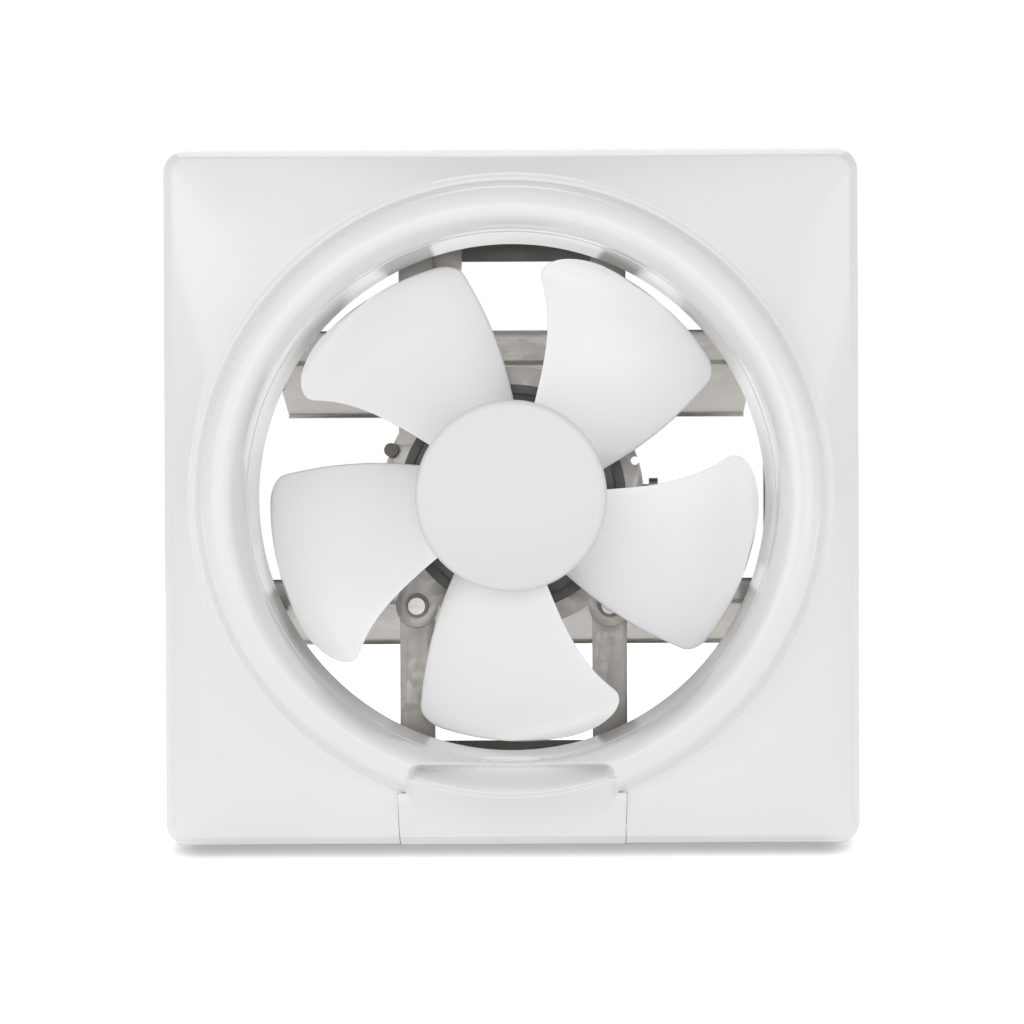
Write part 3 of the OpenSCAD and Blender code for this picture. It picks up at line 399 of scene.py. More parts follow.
def join(name, objs):
    """One object from several that share their materials' order."""
    bm = bmesh.new()
    materials = []
    for obj in objs:
        start = len(bm.faces)
        bm.from_mesh(obj.data)
        bm.faces.ensure_lookup_table()
        slots = []
        for material in obj.data.materials:
            if material not in materials:
                materials.append(material)
            slots.append(materials.index(material))
        for face in bm.faces[start:]:
            face.material_index = slots[face.material_index] if slots else 0
    mesh = bpy.data.meshes.new(name)
    bm.to_mesh(mesh)
    bm.free()
    for material in materials:
        mesh.materials.append(material)
    for obj in objs:
        remove_object(obj)
    obj = bpy.data.objects.new(name, mesh)
    bpy.context.scene.collection.objects.link(obj)
    return obj


def lofted(rows, close_rows=False):
    """Quads between closed rings of equal length, capped at both ends or closed on themselves."""
    count = len(rows[0])
    verts = [p for row in rows for p in row]
    faces = []
    last = len(rows) if close_rows else len(rows) - 1
    for i in range(last):
        a, b = i * count, ((i + 1) % len(rows)) * count
        for j in range(count):
            k = (j + 1) % count
            faces.append((a + j, a + k, b + k, b + j))
    if not close_rows:
        faces.append(tuple(range(count))[::-1])
        faces.append(tuple(range(last * count, (last + 1) * count)))
    return verts, faces


def turned(name, profile, material, columns):
    """A closed [radius, y] profile turned about the fan axis."""
    rows = []
    for i in range(columns):
        a = 2 * math.pi * i / columns
        rows.append([(r * math.cos(a), y, r * math.sin(a)) for r, y in profile])
    verts, faces = lofted(rows, close_rows=True)
    return as_object(name, verts, faces, material, TURNED_SHARP)


def rounded_path(points, radius, steps=4, closed=False):
    """A 2D path whose corners are arcs of the given radius, or of radius[i] at corner i."""
    out = []
    n = len(points)
    for i, p in enumerate(points):
        r = radius[i] if isinstance(radius, (list, tuple)) else radius
        if (not closed and i in (0, n - 1)) or r <= 0:
            out.append(tuple(p))
            continue
        p = Vector(p)
        a = Vector(points[i - 1]) - p
        b = Vector(points[(i + 1) % n]) - p
        half = a.angle(b) / 2
        if half > math.pi / 2 - 0.02:
            out.append(tuple(p))
            continue
        reach = min(r / math.tan(half), a.length * 0.49, b.length * 0.49)
        r = reach * math.tan(half)
        start, end = p + a.normalized() * reach, p + b.normalized() * reach
        centre = p + (a.normalized() + b.normalized()).normalized() * (r / math.sin(half))
        u, v = start - centre, end - centre
        sweep = math.atan2(u.x * v.y - u.y * v.x, u.dot(v))
        for k in range(steps + 1):
            t = sweep * k / steps
            out.append((centre.x + u.x * math.cos(t) - u.y * math.sin(t),
                        centre.y + u.x * math.sin(t) + u.y * math.cos(t)))
    return out


def sheet_outline(path, thickness):
    """The closed outline of a bent sheet whose middle follows path."""
    left, right = [], []
    for i, p in enumerate(path):
        p = Vector(p)
        before = Vector(path[max(i - 1, 0)])
        after = Vector(path[min(i + 1, len(path) - 1)])
        d = (after - before).normalized()
        n = Vector((-d.y, d.x)) * thickness / 2
        left.append(tuple(p + n))
        right.append(tuple(p - n))
    return left + right[::-1]


def drawn(name, outline, low, high, along, material, edge, angle=EASE_ANGLE):
    """A 2D outline drawn out from low to high along an axis, with edges eased by edge."""
    def place(p, t):
        return {"x": (t, p[0], p[1]), "y": (p[0], t, p[1]), "z": (p[0], p[1], t)}[along]

    rows = [[place(p, low) for p in outline], [place(p, high) for p in outline]]
    verts, faces = lofted(rows)
    obj = as_object(name, verts, faces, material)
    ease(obj, edge)
    smooth(obj, angle)
    return obj


def ease(obj, width):
    """Rounds the edges of an object by a small bevel."""
    bevel = obj.modifiers.new("edges", "BEVEL")
    bevel.width = width * MM
    bevel.segments = EASE_SEGMENTS
    bevel.limit_method = "ANGLE"
    bevel.angle_limit = math.radians(EASE_ANGLE)
    bevel.use_clamp_overlap = True
    apply_modifiers(obj)


def eased_copy(node, material, width):
    """A node's own solid with its edges eased, for pressed and moulded pieces of plain form."""
    bm = bmesh.new()
    bm.from_mesh(frame["nodes"][node].data)
    bmesh.ops.remove_doubles(bm, verts=bm.verts, dist=SOLID_WELD_M)
    bmesh.ops.dissolve_limit(bm, angle_limit=FLAT_ANGLE, verts=bm.verts, edges=bm.edges)
    mesh = bpy.data.meshes.new(node + "_eased")
    bm.to_mesh(mesh)
    bm.free()
    obj = bpy.data.objects.new(node + "_eased", mesh)
    bpy.context.scene.collection.objects.link(obj)
    mesh.materials.append(MATERIALS[material])
    ease(obj, width)
    smooth(obj, EASE_ANGLE)
    return obj


def stands_for(obj, body, node):
    """Puts a visual piece in the place of a node, on its body."""
    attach(obj, body)
    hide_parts(node)


# Front panel

PANEL_HALF = 175.0
PANEL_CORNER = 11.0
RIM_DRAFT = 4.7
RIM_LOW_Y = -3.0
RIM_TOP_Y = -12.0
FACE_Y = -24.0
CREST_Y = -45.0
CREST_R = 141.0
BEAD_OUT = 18.5
BEAD_IN = 9.4
THROAT_R = 129.2
THROAT_END_Y = 14.0
WALL = 2.2
FACE_INNER_R = 160.5
BEAD_SEAT_Y = -20.6

# Foot of the bead: a soft fillet that ends on a low ledge
FOOT_R = CREST_R + BEAD_OUT
FOOT_FILLET = 6.0
FOOT_SHARE = 0.25
LEDGE_R = 156.6
LEDGE_RISE = 0.4
LEDGE_RUN = 1.3
DOME_POWER = 2.2
# Outward reach of the hollow behind the bead, and the rounding at the throat's end
HOLLOW_OUT = 9.5
BELL_END_ROUND = 0.3
BELL_COLUMNS = 256
# Low ridge in the throat behind the bead, as (height, distance behind the face)
THROAT_RIDGE = ((0.25, 3.6), (0.42, 3.2), (0.5, 2.6), (0.45, 2.1), (0.3, 1.7), (0.08, 1.3))

# Mesh columns at each corner, and the degrees of each quarter circle beside a corner's columns
CORNER_STEPS = 10
CORNER_MARGIN = 39.0
# Where the mesh rows of the face end, and those of the rim start and end, as shares of each
FACE_END = 0.965
SIDE_START = 0.16
SIDE_END = 0.94
# Inset of the rim's underside, and how much thinner the wall is at the inner corner
RIM_UNDER_IN = 0.7
INNER_THIN = 0.3

# Grip tab and finger recess
GRIP_HALF = 52.5
TAB_HALF = 56.9
TAB_SEAM = 0.2
TAB_TOP_Z = -147.0
TAB_FRONT_Y = -27.0
TAB_EDGE = 0.6
RECESS_TOP_Z = -130.4
# Rounding of the recess's corners, and the width over which its edge sinks to the scoop
RECESS_ROUND = 7.5
RECESS_BLEND = 4.5
RECESS_STEPS = 112
SCOOP_TOP_Y = -26.5
SCOOP_DEPTH = 13.0
SCOOP_BACK_Y = -12.0
LIP_R = 146.4
LIP_DROP = 4.6
# Section of the lip, as (distance past its radius, y)
LIP_PROFILE = ((0.25, -39.5), (0.6, -40.1), (1.2, -40.3), (1.9, -39.8))
# Width at each end over which the lip runs out into the tab's plate
END_BLEND = 4.0
# The cut that makes room for the tab passes the panel by this much, and ends behind the throat
CUT_MARGIN = 5
TAB_CUT_BACK_Y = 20


def panel_columns(side_steps):
    """Where each mesh column meets the outline and the circle: (kind, quarter, share, degrees)."""
    columns = []
    for quarter in range(4):
        for k in range(CORNER_STEPS):
            t = k / CORNER_STEPS
            angle = quarter * 90 + CORNER_MARGIN + (90 - 2 * CORNER_MARGIN) * t
            columns.append(("corner", quarter, t, angle))
        for k in range(side_steps):
            t = k / side_steps
            angle = quarter * 90 + 90 - CORNER_MARGIN + 2 * CORNER_MARGIN * t
            columns.append(("side", quarter, t, angle))
    return columns


def outline_point(column, half, radius):
    """A point of the rounded square of that half width, as (x, z)."""
    kind, quarter, t, _ = column
    reach = half - radius

    def corner(q, share):
        a = math.radians(q * 90 + 90 * share)
        cx = reach * (1 if q in (0, 3) else -1)
        cz = reach * (1 if q in (0, 1) else -1)
        return cx + radius * math.cos(a), cz + radius * math.sin(a)

    if kind == "corner":
        return corner(quarter, t)
    a, b = corner(quarter, 1.0), corner((quarter + 1) % 4, 0.0)
    return a[0] + (b[0] - a[0]) * t, a[1] + (b[1] - a[1]) * t


def circle_row(columns, r, y):
    """A row of mesh points on a circle round the fan axis."""
    angles = [math.radians(c[3]) for c in columns]
    return [(r * math.cos(a), y, r * math.sin(a)) for a in angles]


def outline_row(columns, half, y):
    """A row of mesh points on a rounded square, whose corners shrink as the square does."""
    radius = PANEL_CORNER - (PANEL_HALF - half) / 2
    return [(x, y, z) for x, z in (outline_point(c, half, radius) for c in columns)]


def between_rows(a, b, t):
    """The row at share t of the way from row a to row b."""
    return [tuple(p + (q - p) * t for p, q in zip(u, v)) for u, v in zip(a, b)]


def bent_rows(a, b, c, steps):
    """Rows on the quadratic curve a, b, c, without its two ends."""
    rows = []
    for k in range(1, steps):
        t = k / steps
        rows.append([
            tuple((1 - t) ** 2 * p + 2 * t * (1 - t) * q + t * t * r for p, q, r in zip(u, v, w))
            for u, v, w in zip(a, b, c)
        ])
    return rows


def ramp(t):
    """Smooth step from 0 to 1."""
    t = min(1.0, max(0.0, t))
    return t * t * (3 - 2 * t)


def bead_front(r):
    """Front of the bead at radius r from the fan axis; its foot runs out in a soft fillet."""
    rise = FACE_Y - CREST_Y
    if r < CREST_R:
        return FACE_Y - rise * math.sqrt(max(0.0, 1 - ((CREST_R - r) / BEAD_IN) ** 2))
    ledge = LEDGE_RISE * ramp((FOOT_R - r) / LEDGE_RUN)
    out = min(1.0, (r - CREST_R) / (LEDGE_R - CREST_R))
    dome = math.sqrt(1 - out ** DOME_POWER)
    share = min(1.0, max(0.0, LEDGE_R - r) / FOOT_FILLET)
    fillet = FOOT_SHARE + (1 - FOOT_SHARE) * ramp(0.5 * share ** 0.8 + 0.5 * share)
    return FACE_Y - ledge - (rise - ledge) * dome * fillet


def bell_profile():
    """The bell mouth's section, over the crest to the foot and back inside, as (radius, y)."""
    rows = [(THROAT_R + BELL_END_ROUND, THROAT_END_Y), (THROAT_R, THROAT_END_Y - BELL_END_ROUND)]
    bead_end_r = CREST_R - BEAD_IN
    for k in range(1, 10):
        t = k / 10
        rows.append((THROAT_R + (bead_end_r - THROAT_R) * t,
                     THROAT_END_Y + (FACE_Y - THROAT_END_Y) * t))
    rows += [(bead_end_r - out, FACE_Y + back) for out, back in THROAT_RIDGE]
    rise = FACE_Y - CREST_Y
    for k in range(0, 17):
        a = math.radians(180 - 90 * k / 16)
        rows.append((CREST_R + BEAD_IN * math.cos(a), FACE_Y - rise * math.sin(a)))
    for k in range(1, 33):
        r = CREST_R + (LEDGE_R - CREST_R) * k / 32
        rows.append((r, bead_front(r)))
    for back in (2.0, LEDGE_RUN, 1.0, 0.75, 0.5, 0.25):
        rows.append((FOOT_R - back, bead_front(FOOT_R - back)))
    rows += [(FOOT_R, FACE_Y), (FOOT_R, BEAD_SEAT_Y), (FOOT_R - WALL, BEAD_SEAT_Y)]
    rise -= WALL
    for k in range(0, 25):
        a = math.radians(180 * k / 24)
        reach = HOLLOW_OUT if math.cos(a) > 0 else BEAD_IN - WALL
        rows.append((CREST_R + reach * math.cos(a), FACE_Y - rise * math.sin(a)))
    outer_r = THROAT_R + WALL
    return rows + [(outer_r, THROAT_END_Y - BELL_END_ROUND),
                   (outer_r - BELL_END_ROUND, THROAT_END_Y)]


def panel_shell(columns):
    """The square cover as one closed skin: opening, face, rim, and the back of both."""
    rows = [circle_row(columns, FOOT_R, BEAD_SEAT_Y), circle_row(columns, FOOT_R, FACE_Y)]
    foot = circle_row(columns, FACE_INNER_R, FACE_Y)
    corner = outline_row(columns, PANEL_HALF - RIM_DRAFT, RIM_TOP_Y)
    rim_low = outline_row(columns, PANEL_HALF, RIM_LOW_Y)
    rows.append(foot)
    for k in range(1, 12):
        rows.append(between_rows(foot, corner, FACE_END * k / 11))
    side_start = between_rows(corner, rim_low, SIDE_START)
    rows += bent_rows(rows[-1], corner, side_start, 6)
    rows.append(side_start)
    for k in range(1, 4):
        rows.append(between_rows(side_start, rim_low, SIDE_END * k / 3))
    under = outline_row(columns, PANEL_HALF - RIM_UNDER_IN, RIM_LOW_Y)
    rows += bent_rows(rows[-1], rim_low, under, 4)
    rows.append(under)
    rows.append(outline_row(columns, PANEL_HALF - WALL, RIM_LOW_Y))
    inner_half = PANEL_HALF - RIM_DRAFT - WALL + INNER_THIN
    inner_corner = outline_row(columns, inner_half, RIM_TOP_Y + WALL)
    rows.append(inner_corner)
    for k in (0.33, 0.66):
        rows.append(between_rows(inner_corner, rows[0], k))
    return lofted(rows, close_rows=True)


def scoop_share(x, z):
    """How far the scoop is sunk at (x, z): 0 on its rounded edge, 1 well inside it."""
    half, top_z, round_r = GRIP_HALF - 1.0, RECESS_TOP_Z, RECESS_ROUND
    side, top = max(0.0, abs(x) - half + round_r), max(0.0, z - top_z + round_r)
    corner = round_r - (math.hypot(side, top) if side and top else max(side, top))
    inside = min(corner, half - abs(x), top_z - z + 0.4)
    return ramp(max(0.0, min(1.0, inside / RECESS_BLEND)))


def recess_slice(x):
    """Section of the finger recess at x: scoop, lip and the slope below, closed at the back."""
    lip_z = -math.sqrt(LIP_R ** 2 - x * x)
    plate_z = -LIP_R - LIP_DROP
    rim_z = -PANEL_HALF + RIM_DRAFT
    low_z = rim_z + 0.15
    end = ramp((abs(x) - (GRIP_HALF - END_BLEND)) / END_BLEND)
    front = []

    def ring(z):
        return bead_front(min(math.hypot(x, z), FOOT_R))

    def plate(z):
        fall = max(0.0, (plate_z - z) / (plate_z - rim_z))
        return TAB_FRONT_Y + (RIM_TOP_Y - TAB_FRONT_Y) * fall

    def add(y, z):
        """Adds a front point, blended to the ring and the tab's plate at the recess's ends."""
        own = min(plate(z), ring(z)) if z > plate_z else plate(z)
        front.append((x, y + (own - y) * end, z))

    for k in range(41):
        z = RECESS_TOP_Z + (lip_z - RECESS_TOP_Z) * k / 40
        down = (z - RECESS_TOP_Z) / (lip_z - RECESS_TOP_Z)
        floor_y = SCOOP_TOP_Y - SCOOP_DEPTH * ramp(down * 1.25 - 0.25)
        front.append((x, ring(z) + (max(floor_y, ring(z)) - ring(z)) * scoop_share(x, z), z))
    for out, y in LIP_PROFILE:
        add(y, -math.sqrt((LIP_R + out) ** 2 - x * x))
    start_y, start_z = LIP_PROFILE[-1][1], front[-1][2]
    end_y = RIM_TOP_Y - 0.2
    for k in range(1, 25):
        t = k / 24
        bulge = t + 0.35 * t * (1 - t)
        add(start_y + (end_y - start_y) * bulge, start_z + (low_z - start_z) * t)
    return front + [(x, SCOOP_BACK_Y, low_z), (x, SCOOP_BACK_Y, RECESS_TOP_Z)]


def cut_boxes(obj, boxes):
    """Cuts boxes of (low, high) corners in millimetres from an object."""
    for low, high in boxes:
        verts = list(itertools.product(*zip(low, high)))
        faces = [(0, 1, 3, 2), (4, 6, 7, 5), (0, 4, 5, 1), (2, 3, 7, 6), (0, 2, 6, 4), (1, 5, 7, 3)]
        cutter = as_object("cutter", verts, faces, "panel")
        cut = obj.modifiers.new("cut", "BOOLEAN")
        cut.operation = "DIFFERENCE"
        cut.solver = "EXACT"
        cut.object = cutter
        apply_modifiers(obj)
        remove_object(cutter)


class EXHAUST_OT_front_panel(bpy.types.Operator):
    """Makes the square front panel with its bell mouth, open at the foot for the grip tab."""

    bl_idname = "exhaust_fan.front_panel"
    bl_label = "Front panel"

    def execute(self, context):
        columns = panel_columns(settings().panel_columns)
        verts, faces = panel_shell(columns)
        panel = as_object("square_cover", verts, faces, "panel")
        bell = turned("bell_mouth_moulding", bell_profile(), "panel", BELL_COLUMNS)
        front_y, low_z = CREST_Y - CUT_MARGIN, -PANEL_HALF - CUT_MARGIN
        for piece, node in ((panel, "front_panel"), (bell, "bell_mouth")):
            cut_boxes(piece, [
                ((-GRIP_HALF, front_y, low_z), (GRIP_HALF, SCOOP_BACK_Y, RECESS_TOP_Z)),
                ((-TAB_HALF, front_y, low_z), (TAB_HALF, TAB_CUT_BACK_Y, TAB_TOP_Z)),
            ])
            smooth(piece, PANEL_SHARP)
            stands_for(piece, "cover", node)
        return {"FINISHED"}


class EXHAUST_OT_grip_tab(bpy.types.Operator):
    """Makes the grip tab with its finger recess at the foot of the panel."""

    bl_idname = "exhaust_fan.grip_tab"
    bl_label = "Grip tab"

    def execute(self, context):
        outline = [
            (0.0, -PANEL_HALF), (RIM_LOW_Y, -PANEL_HALF), (RIM_TOP_Y, -PANEL_HALF + RIM_DRAFT),
            (TAB_FRONT_Y, -LIP_R - LIP_DROP), (TAB_FRONT_Y, -LIP_R - 0.6), (0.0, -LIP_R - 0.6),
        ]
        half = TAB_HALF - TAB_SEAM
        plate = drawn("tab_plate", outline, -half, half, "x", "panel", TAB_EDGE, TAB_SHARP)
        places = [GRIP_HALF * (2 * i / RECESS_STEPS - 1) for i in range(RECESS_STEPS + 1)]
        verts, faces = lofted([recess_slice(x) for x in places])
        recess = as_object("tab_recess", verts, faces, "panel", RECESS_SHARP)
        tab = join("grip_tab_moulding", [plate, recess])
        stands_for(tab, "cover", "grip_tab")
        return {"FINISHED"}


# Impeller

HUB_R = 47.5
TIP_R = 123.5
HUB_FRONT_Y = -32.0
HUB_BACK_Y = 8.0
CAP_Y = -26.0
BLADE_COUNT = 5
BLADE_COLUMNS = 30
# Powers that crowd the mesh rows towards the tip, and that square the ends of each section
ROW_CROWDING = 1.8
SECTION_POWER = 0.32
BLADE_T = 2.2
# The root is thicker by this share, which fades out at this rate along the length
ROOT_THICKENING = 0.9
ROOT_FADE = 26
BLADE_ROOT_R = HUB_R - 1.5
BLADE_CAMBER = 3.2
FIRST_BLADE_ANGLE = 56.8
# Depth of each edge at the root, and what it gains up to the tip
TRAIL_ROOT_Y, TRAIL_GAIN_Y = 7, 7
LEAD_ROOT_Y, LEAD_GAIN_Y = -21, 4
# Each edge's tip corner, as (share of the length where it begins, degrees that it takes off)
TRAIL_CORNER = (0.91, 6.0)
LEAD_CORNER = (0.807, 17.7)
# Where along the length the blade begins to thin, and the share that is left at its tip
TIP_START = 0.985
TIP_THIN = 0.25

# Hub
HUB_COLUMNS = 144
CAP_COLUMNS = 160
WEB_Y = CAP_Y + 2.4
CUP_BACK_Y = CAP_Y + 4.8
CUP_BORE_R = 4.0
CUP_BOSS_R = 12.0
CUP_BOSS_BACK_Y = 9.0
CUP_WALL = 2.4
RIB_HALF_T = 0.9
RIB_IN_R = 11.0
RIB_OUT_R = HUB_R - 1.2
RIB_BACK_Y = -2.0
CAP_STEP = 4
CAP_EDGE = 4.0


def lead_angle(s):
    """Degrees from the blade's own line to its leading edge at share s of its length."""
    return 19.0 + 10.3 * s ** 2.6


def trail_angle(s):
    """Degrees from the blade's own line to its trailing edge at share s of its length."""
    return -41.1 + 15.6 * s ** 0.85


def corner_round(s, corner):
    """Degrees that a tip corner takes off its edge at share s of the length."""
    start, degrees = corner
    if s < start:
        return 0.0
    return degrees * (1 - math.sqrt(max(0.0, 1 - ((s - start) / (1 - start)) ** 2)))


def blade_middle(s, u):
    """Middle of the blade at share s of its length and share u of its width."""
    a0 = trail_angle(s) + corner_round(s, TRAIL_CORNER)
    a1 = lead_angle(s) - corner_round(s, LEAD_CORNER)
    a = math.radians(a0 + (a1 - a0) * u)
    r = BLADE_ROOT_R + (TIP_R - BLADE_ROOT_R) * s
    trail_y, lead_y = TRAIL_ROOT_Y + TRAIL_GAIN_Y * s, LEAD_ROOT_Y + LEAD_GAIN_Y * s
    y = trail_y + (lead_y - trail_y) * u + BLADE_CAMBER * math.sin(math.pi * u)
    return Vector((r * math.cos(a), y, r * math.sin(a)))


def blade_mesh(rows):
    """One blade as a closed skin with rounded edges, thicker at its root."""
    sections = []
    for i in range(rows + 1):
        s = 1 - (1 - i / rows) ** ROW_CROWDING
        thick = BLADE_T / 2 * (1 + ROOT_THICKENING * math.exp(-s * ROOT_FADE))
        past = max(0.0, (s - TIP_START) / (1 - TIP_START))
        thin = max(math.sqrt(max(0.0, 1 - past ** 2)), TIP_THIN)
        loop = []
        for k in range(2 * BLADE_COLUMNS):
            turn = math.pi * k / BLADE_COLUMNS
            u = 0.5 - 0.5 * math.cos(turn)
            across = math.sin(turn)
            lift = math.copysign(abs(across) ** SECTION_POWER, across) * thick
            p = blade_middle(s, u)
            p.y += lift * thin
            loop.append(tuple(p))
        sections.append(loop)
    return lofted(sections)


def turned_copies_tree(name):
    """Geometry Nodes tree: copies of its input, evenly spaced round Y from a first angle."""
    tree = bpy.data.node_groups.new(name, "GeometryNodeTree")
    face = tree.interface
    face.new_socket("Geometry", in_out="OUTPUT", socket_type="NodeSocketGeometry")
    face.new_socket("Geometry", in_out="INPUT", socket_type="NodeSocketGeometry")
    count = face.new_socket("Count", in_out="INPUT", socket_type="NodeSocketInt")
    first = face.new_socket("First angle", in_out="INPUT", socket_type="NodeSocketFloat")
    finish = face.new_socket("Finish", in_out="INPUT", socket_type="NodeSocketMaterial")
    nodes, links = tree.nodes, tree.links
    group_in = nodes.new("NodeGroupInput")
    group_out = nodes.new("NodeGroupOutput")
    line = nodes.new("GeometryNodeMeshLine")
    line.mode = "OFFSET"
    line.inputs["Offset"].default_value = (0.0, 0.0, 0.0)
    links.new(group_in.outputs["Count"], line.inputs["Count"])
    index = nodes.new("GeometryNodeInputIndex")

    def maths(operation, a, b):
        """A Math node over two sockets or plain numbers."""
        node = nodes.new("ShaderNodeMath")
        node.operation = operation
        for socket, value in zip(node.inputs, (a, b)):
            if isinstance(value, (int, float)):
                socket.default_value = value
            else:
                links.new(value, socket)
        return node.outputs[0]

    share = maths("DIVIDE", index.outputs[0], group_in.outputs["Count"])
    angle = maths("ADD", maths("MULTIPLY", share, 2 * math.pi), group_in.outputs["First angle"])
    turn = nodes.new("ShaderNodeCombineXYZ")
    links.new(maths("MULTIPLY", angle, -1.0), turn.inputs["Y"])
    place = nodes.new("GeometryNodeInstanceOnPoints")
    links.new(line.outputs[0], place.inputs["Points"])
    links.new(group_in.outputs["Geometry"], place.inputs["Instance"])
    links.new(turn.outputs[0], place.inputs["Rotation"])
    real = nodes.new("GeometryNodeRealizeInstances")
    links.new(place.outputs[0], real.inputs[0])
    paint = nodes.new("GeometryNodeSetMaterial")
    links.new(real.outputs[0], paint.inputs["Geometry"])
    links.new(group_in.outputs["Finish"], paint.inputs["Material"])
    links.new(paint.outputs[0], group_out.inputs[0])
    return tree, count.identifier, first.identifier, finish.identifier


def turned_copies(obj, count, first_degrees, material):
    """Makes evenly spaced copies of obj round the fan axis, as one plain mesh."""
    tree, count_key, first_key, finish_key = turned_copies_tree(obj.name + "_copies")
    modifier = obj.modifiers.new("copies", "NODES")
    modifier.node_group = tree
    modifier[count_key] = count
    modifier[first_key] = math.radians(first_degrees)
    modifier[finish_key] = MATERIALS[material]
    obj.update_tag()
    apply_modifiers(obj)


class EXHAUST_OT_impeller(bpy.types.Operator):
    """Makes the impeller: hub, ribs and its swept blades."""

    bl_idname = "exhaust_fan.impeller"
    bl_label = "Impeller"

    def execute(self, context):
        verts, faces = blade_mesh(settings().blade_rows)
        blades = as_object("blades", verts, faces, "impeller", BLADE_SHARP)
        turned_copies(blades, BLADE_COUNT, FIRST_BLADE_ANGLE, "impeller")
        step_r, wall_r = HUB_R - CAP_STEP, HUB_R - CUP_WALL
        cup_profile = rounded_path([
            (CUP_BORE_R, -20.0), (8.6, -20.0), (8.6, WEB_Y), (step_r, WEB_Y), (step_r, CAP_Y),
            (HUB_R, CAP_Y), (HUB_R, HUB_BACK_Y), (wall_r, HUB_BACK_Y), (wall_r, CUP_BACK_Y),
            (CUP_BOSS_R, CUP_BACK_Y), (CUP_BOSS_R, CUP_BOSS_BACK_Y), (CUP_BORE_R, CUP_BOSS_BACK_Y),
        ], [0, 0.4, 0.4, 0.4, 0, 0.15, 0.5, 0.5, 1.2, 1.2, 0.5, 0], 3, closed=True)
        cup = turned("cup", cup_profile, "impeller", HUB_COLUMNS)
        rib_outline = [(RIB_IN_R, WEB_Y + 1), (RIB_OUT_R, WEB_Y + 1), (RIB_OUT_R, RIB_BACK_Y),
                       (RIB_IN_R, RIB_BACK_Y)]
        rib = drawn("ribs", rib_outline, -RIB_HALF_T, RIB_HALF_T, "z", "impeller", 0.25)
        turned_copies(rib, BLADE_COUNT, 0.0, "impeller")
        impeller = join("impeller_moulding", [cup, blades, rib])
        stands_for(impeller, "fan", "impeller")

        cap_profile = rounded_path([
            (0.0, HUB_FRONT_Y), (HUB_R, HUB_FRONT_Y), (HUB_R, CAP_Y), (step_r, CAP_Y),
            (step_r, WEB_Y), (step_r - 2, WEB_Y), (step_r - 2, HUB_FRONT_Y + 3.4),
            (0.0, HUB_FRONT_Y + 2.4),
        ], [0, CAP_EDGE, 0.25, 0.2, 0.3, 0.3, 0.5, 0], 8, closed=True)
        cap = turned("hub_cover", cap_profile, "hub", CAP_COLUMNS)
        stands_for(cap, "fan", "hub_cap")
        return {"FINISHED"}


# Louvres

PIVOT_Y = 112.0
PIVOT_Z = 65.0
OPEN_ANGLE = 72.5
LOUVRE_HALF_W = 130.5
LOUVRE_T = 1.0
LOUVRE_EDGE = 0.12
ARM = 68.0
SHEET_Y = 6.0
JOGGLE = 4.0
LIP = 2.7
TRAY = 1.3
BEND_R = 1.6
# Heights of the tray's folds in the shut louvre's frame, and of the step from the upper edge
TRAY_FOLDS = (-24.0, -20.5, 13.5, 17.0)
STEP_START, STEP_END = 13.2, 9.2
# Outlines of the end tabs in the shut louvre's frame, as points and corner radii
LONG_TAB = ([(SHEET_Y, 10), (SHEET_Y, -9), (-5, -9), (-21, 6), (-21, 17), (-12, 18)],
            [0, 0, 2, 5, 4, 4])
SHORT_TAB = ([(SHEET_Y, 10), (SHEET_Y, -9), (-5, -9), (-8, -4), (-8, 6), (-4, 10)],
             [0, 0, 2, 2, 2, 2])
# The upper louvre's lug round the push rod's pin, in the shut louvre's frame
ROD_Y = -0.49
ROD_Z = -13.99
LUG_X = 63.6
LUG_T = 2.0
LUG_EDGE = 0.15
LUG = ([(SHEET_Y, ROD_Z + 9), (SHEET_Y, ROD_Z - 8), (ROD_Y - 4, ROD_Z - 5), (ROD_Y - 4, ROD_Z + 5)],
       [0, 0, 3, 3])
BEND_STEPS = 5


def opened(points, z):
    """Points drawn in the shut louvre's own frame, at the place of the open louvre."""
    c, s = math.cos(math.radians(OPEN_ANGLE)), math.sin(math.radians(OPEN_ANGLE))
    return [(PIVOT_Y + y * c - w * s, z + y * s + w * c) for y, w in points]


def louvre_sheet(name, z, lug):
    """A louvre with its lip, shallow tray, step and end tabs, and a lug for the push rod."""
    lip_z, fold_y = -ARM + LOUVRE_T / 2, SHEET_Y - TRAY
    middle = [
        (SHEET_Y - LIP + LOUVRE_T / 2, lip_z), (SHEET_Y, lip_z),
        (SHEET_Y, TRAY_FOLDS[0]), (fold_y, TRAY_FOLDS[1]),
        (fold_y, TRAY_FOLDS[2]), (SHEET_Y, TRAY_FOLDS[3]),
        (SHEET_Y, ARM - STEP_START), (SHEET_Y - JOGGLE, ARM - STEP_END), (SHEET_Y - JOGGLE, ARM),
    ]
    outline = sheet_outline(rounded_path(middle, BEND_R, BEND_STEPS), LOUVRE_T)
    end_x = LOUVRE_HALF_W - LOUVRE_T
    shapes = [
        ("sheet", outline, -LOUVRE_HALF_W, LOUVRE_HALF_W, LOUVRE_EDGE),
        ("tab_right", rounded_path(*LONG_TAB, BEND_STEPS, True), end_x, LOUVRE_HALF_W,
         LOUVRE_EDGE),
        ("tab_left", rounded_path(*SHORT_TAB, BEND_STEPS, True), -LOUVRE_HALF_W, -end_x,
         LOUVRE_EDGE),
    ]
    if lug:
        shapes.append(("lug", rounded_path(*LUG, BEND_STEPS, True), LUG_X, LUG_X + LUG_T,
                       LUG_EDGE))
    return join(name, [drawn(piece, opened(shape, z), low, high, "x", "louvre", edge)
                       for piece, shape, low, high, edge in shapes])


